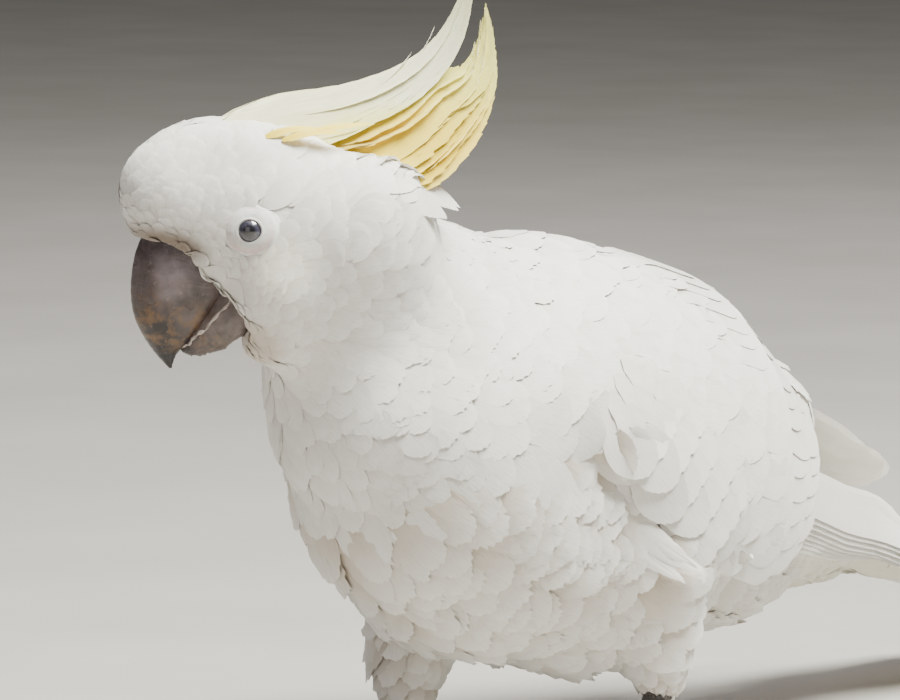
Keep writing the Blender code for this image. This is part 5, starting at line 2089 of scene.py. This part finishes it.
def claw_points(side, turn, length, claw):
    """Rings of points, in millimetres, round an arc that leaves the toe's end and comes down."""
    way = toe_way(side, turn)
    root = np.array(FOOT[side], float) + way * (length - CLAW_SUNK)
    start, sweep = math.radians(CLAW_START), math.radians(CLAW_SWEEP)
    bend = (claw + CLAW_SUNK) / sweep
    s = np.linspace(0, 1, CLAW_RINGS)
    angle = start + sweep * s
    radius = CLAW_RADII[0] * (1 - s) ** 0.85 + CLAW_RADII[1] * s
    run = bend * (np.sin(angle) - math.sin(start))
    rise = bend * (np.cos(angle) - math.cos(start))
    line = root + run[:, None] * way
    line[:, 2] = np.maximum(TOE_END_RADIUS * 0.95 + rise, radius + 0.05)
    across = np.array((-way[1], way[0], 0.0))
    third = unit(np.cross(across, unit(np.gradient(line, axis=0))))
    across = np.broadcast_to(across, line.shape)
    rings = rings_round(line, radius, across, third, CLAW_AROUND, CLAW_THINNESS)
    rings[..., 2] = np.maximum(rings[..., 2], 0.0)
    return rings.reshape(-1, 3)


def make_claws(side):
    points = np.concatenate([claw_points(side, *toe) for toe in TOES.values()])
    quads = ring_quads(CLAW_RINGS, CLAW_AROUND)
    faces = np.concatenate([quads + k * CLAW_RINGS * CLAW_AROUND for k in range(len(TOES))])
    around = np.linspace(0, 2 * np.pi, CLAW_AROUND, endpoint=False) / 6.3
    uv = ring_map(around, np.linspace(0, 1, CLAW_RINGS))
    made = mesh_object(f"claws_{side}", points * MM, [faces], claw_finish, None,
                       {"horn": np.tile(uv, (len(TOES), 1))})
    turn_faces_outwards(made, close=True)
    return finish_piece(made, "grey_horn", *(f"claw_{side}_{toe}" for toe in TOES))


for side in "lr":
    make_claws(side)

# %% [markdown]
# A plain pale floor and soft light, as in a museum's studio. The key light is a bright panel
# high on the bird's left, and it models the form. A dim, wide one by the camera opens the
# shadows, one behind draws the far edge, and a very large one overhead stands for a pale
# ceiling. The surroundings are pale too, and light the underside a little.
# %% Floor, lights and surroundings
FLOOR_HALF = 6.0
LIGHTS_AIM = (0, 0, 0.15)
LIGHTS = {
    # azimuth, elevation (degrees), distance, size (metres), watts, colour
    "key": (84, 63, 1.5, 0.7, 112.0, (0.985, 1.0, 0.93)),
    "fill": (14, 14, 2.6, 1.6, 9.0, (1.0, 0.87, 0.89)),
    "rim": (215, 35, 2.2, 1.0, 9.0, (0.97, 0.90, 1.0)),
    "top": (0, 88, 3.4, 3.6, 60.0, (1.0, 0.99, 0.97)),
}
SURROUNDINGS, SURROUNDINGS_STRENGTH = (0.88, 0.87, 0.86, 1.0), 0.13


def make_floor():
    corners = np.array(((-1, -1, 0), (1, -1, 0), (1, 1, 0), (-1, 1, 0))) * FLOOR_HALF
    finish = speckled_material(
        "pale_floor", 9, 4, ((0.3, (0.38, 0.36, 0.33)), (0.7, (0.42, 0.40, 0.37))), Roughness=0.85)
    mesh_object("floor", corners, [np.arange(4)[None]], finish)


def area_light(name, azimuth, elevation, distance, size, watts, colour):
    towards = way_towards(azimuth, elevation)
    data = bpy.data.lights.new(name, "AREA")
    data.shape = "SQUARE"
    data.size = size
    data.energy = watts
    data.color = colour
    lamp = bpy.data.objects.new(name, data)
    bpy.context.scene.collection.objects.link(lamp)
    lamp.location = Vector(LIGHTS_AIM) + towards * distance
    lamp.rotation_euler = towards.to_track_quat("Z", "Y").to_euler()


make_floor()
for light_name, light in LIGHTS.items():
    area_light(light_name, *light)
world = bpy.data.worlds.new("surroundings")
world.use_nodes = True
background = world.node_tree.nodes["Background"]
background.inputs["Color"].default_value = SURROUNDINGS
background.inputs["Strength"].default_value = SURROUNDINGS_STRENGTH
bpy.context.scene.world = world
print("floor and lights placed")
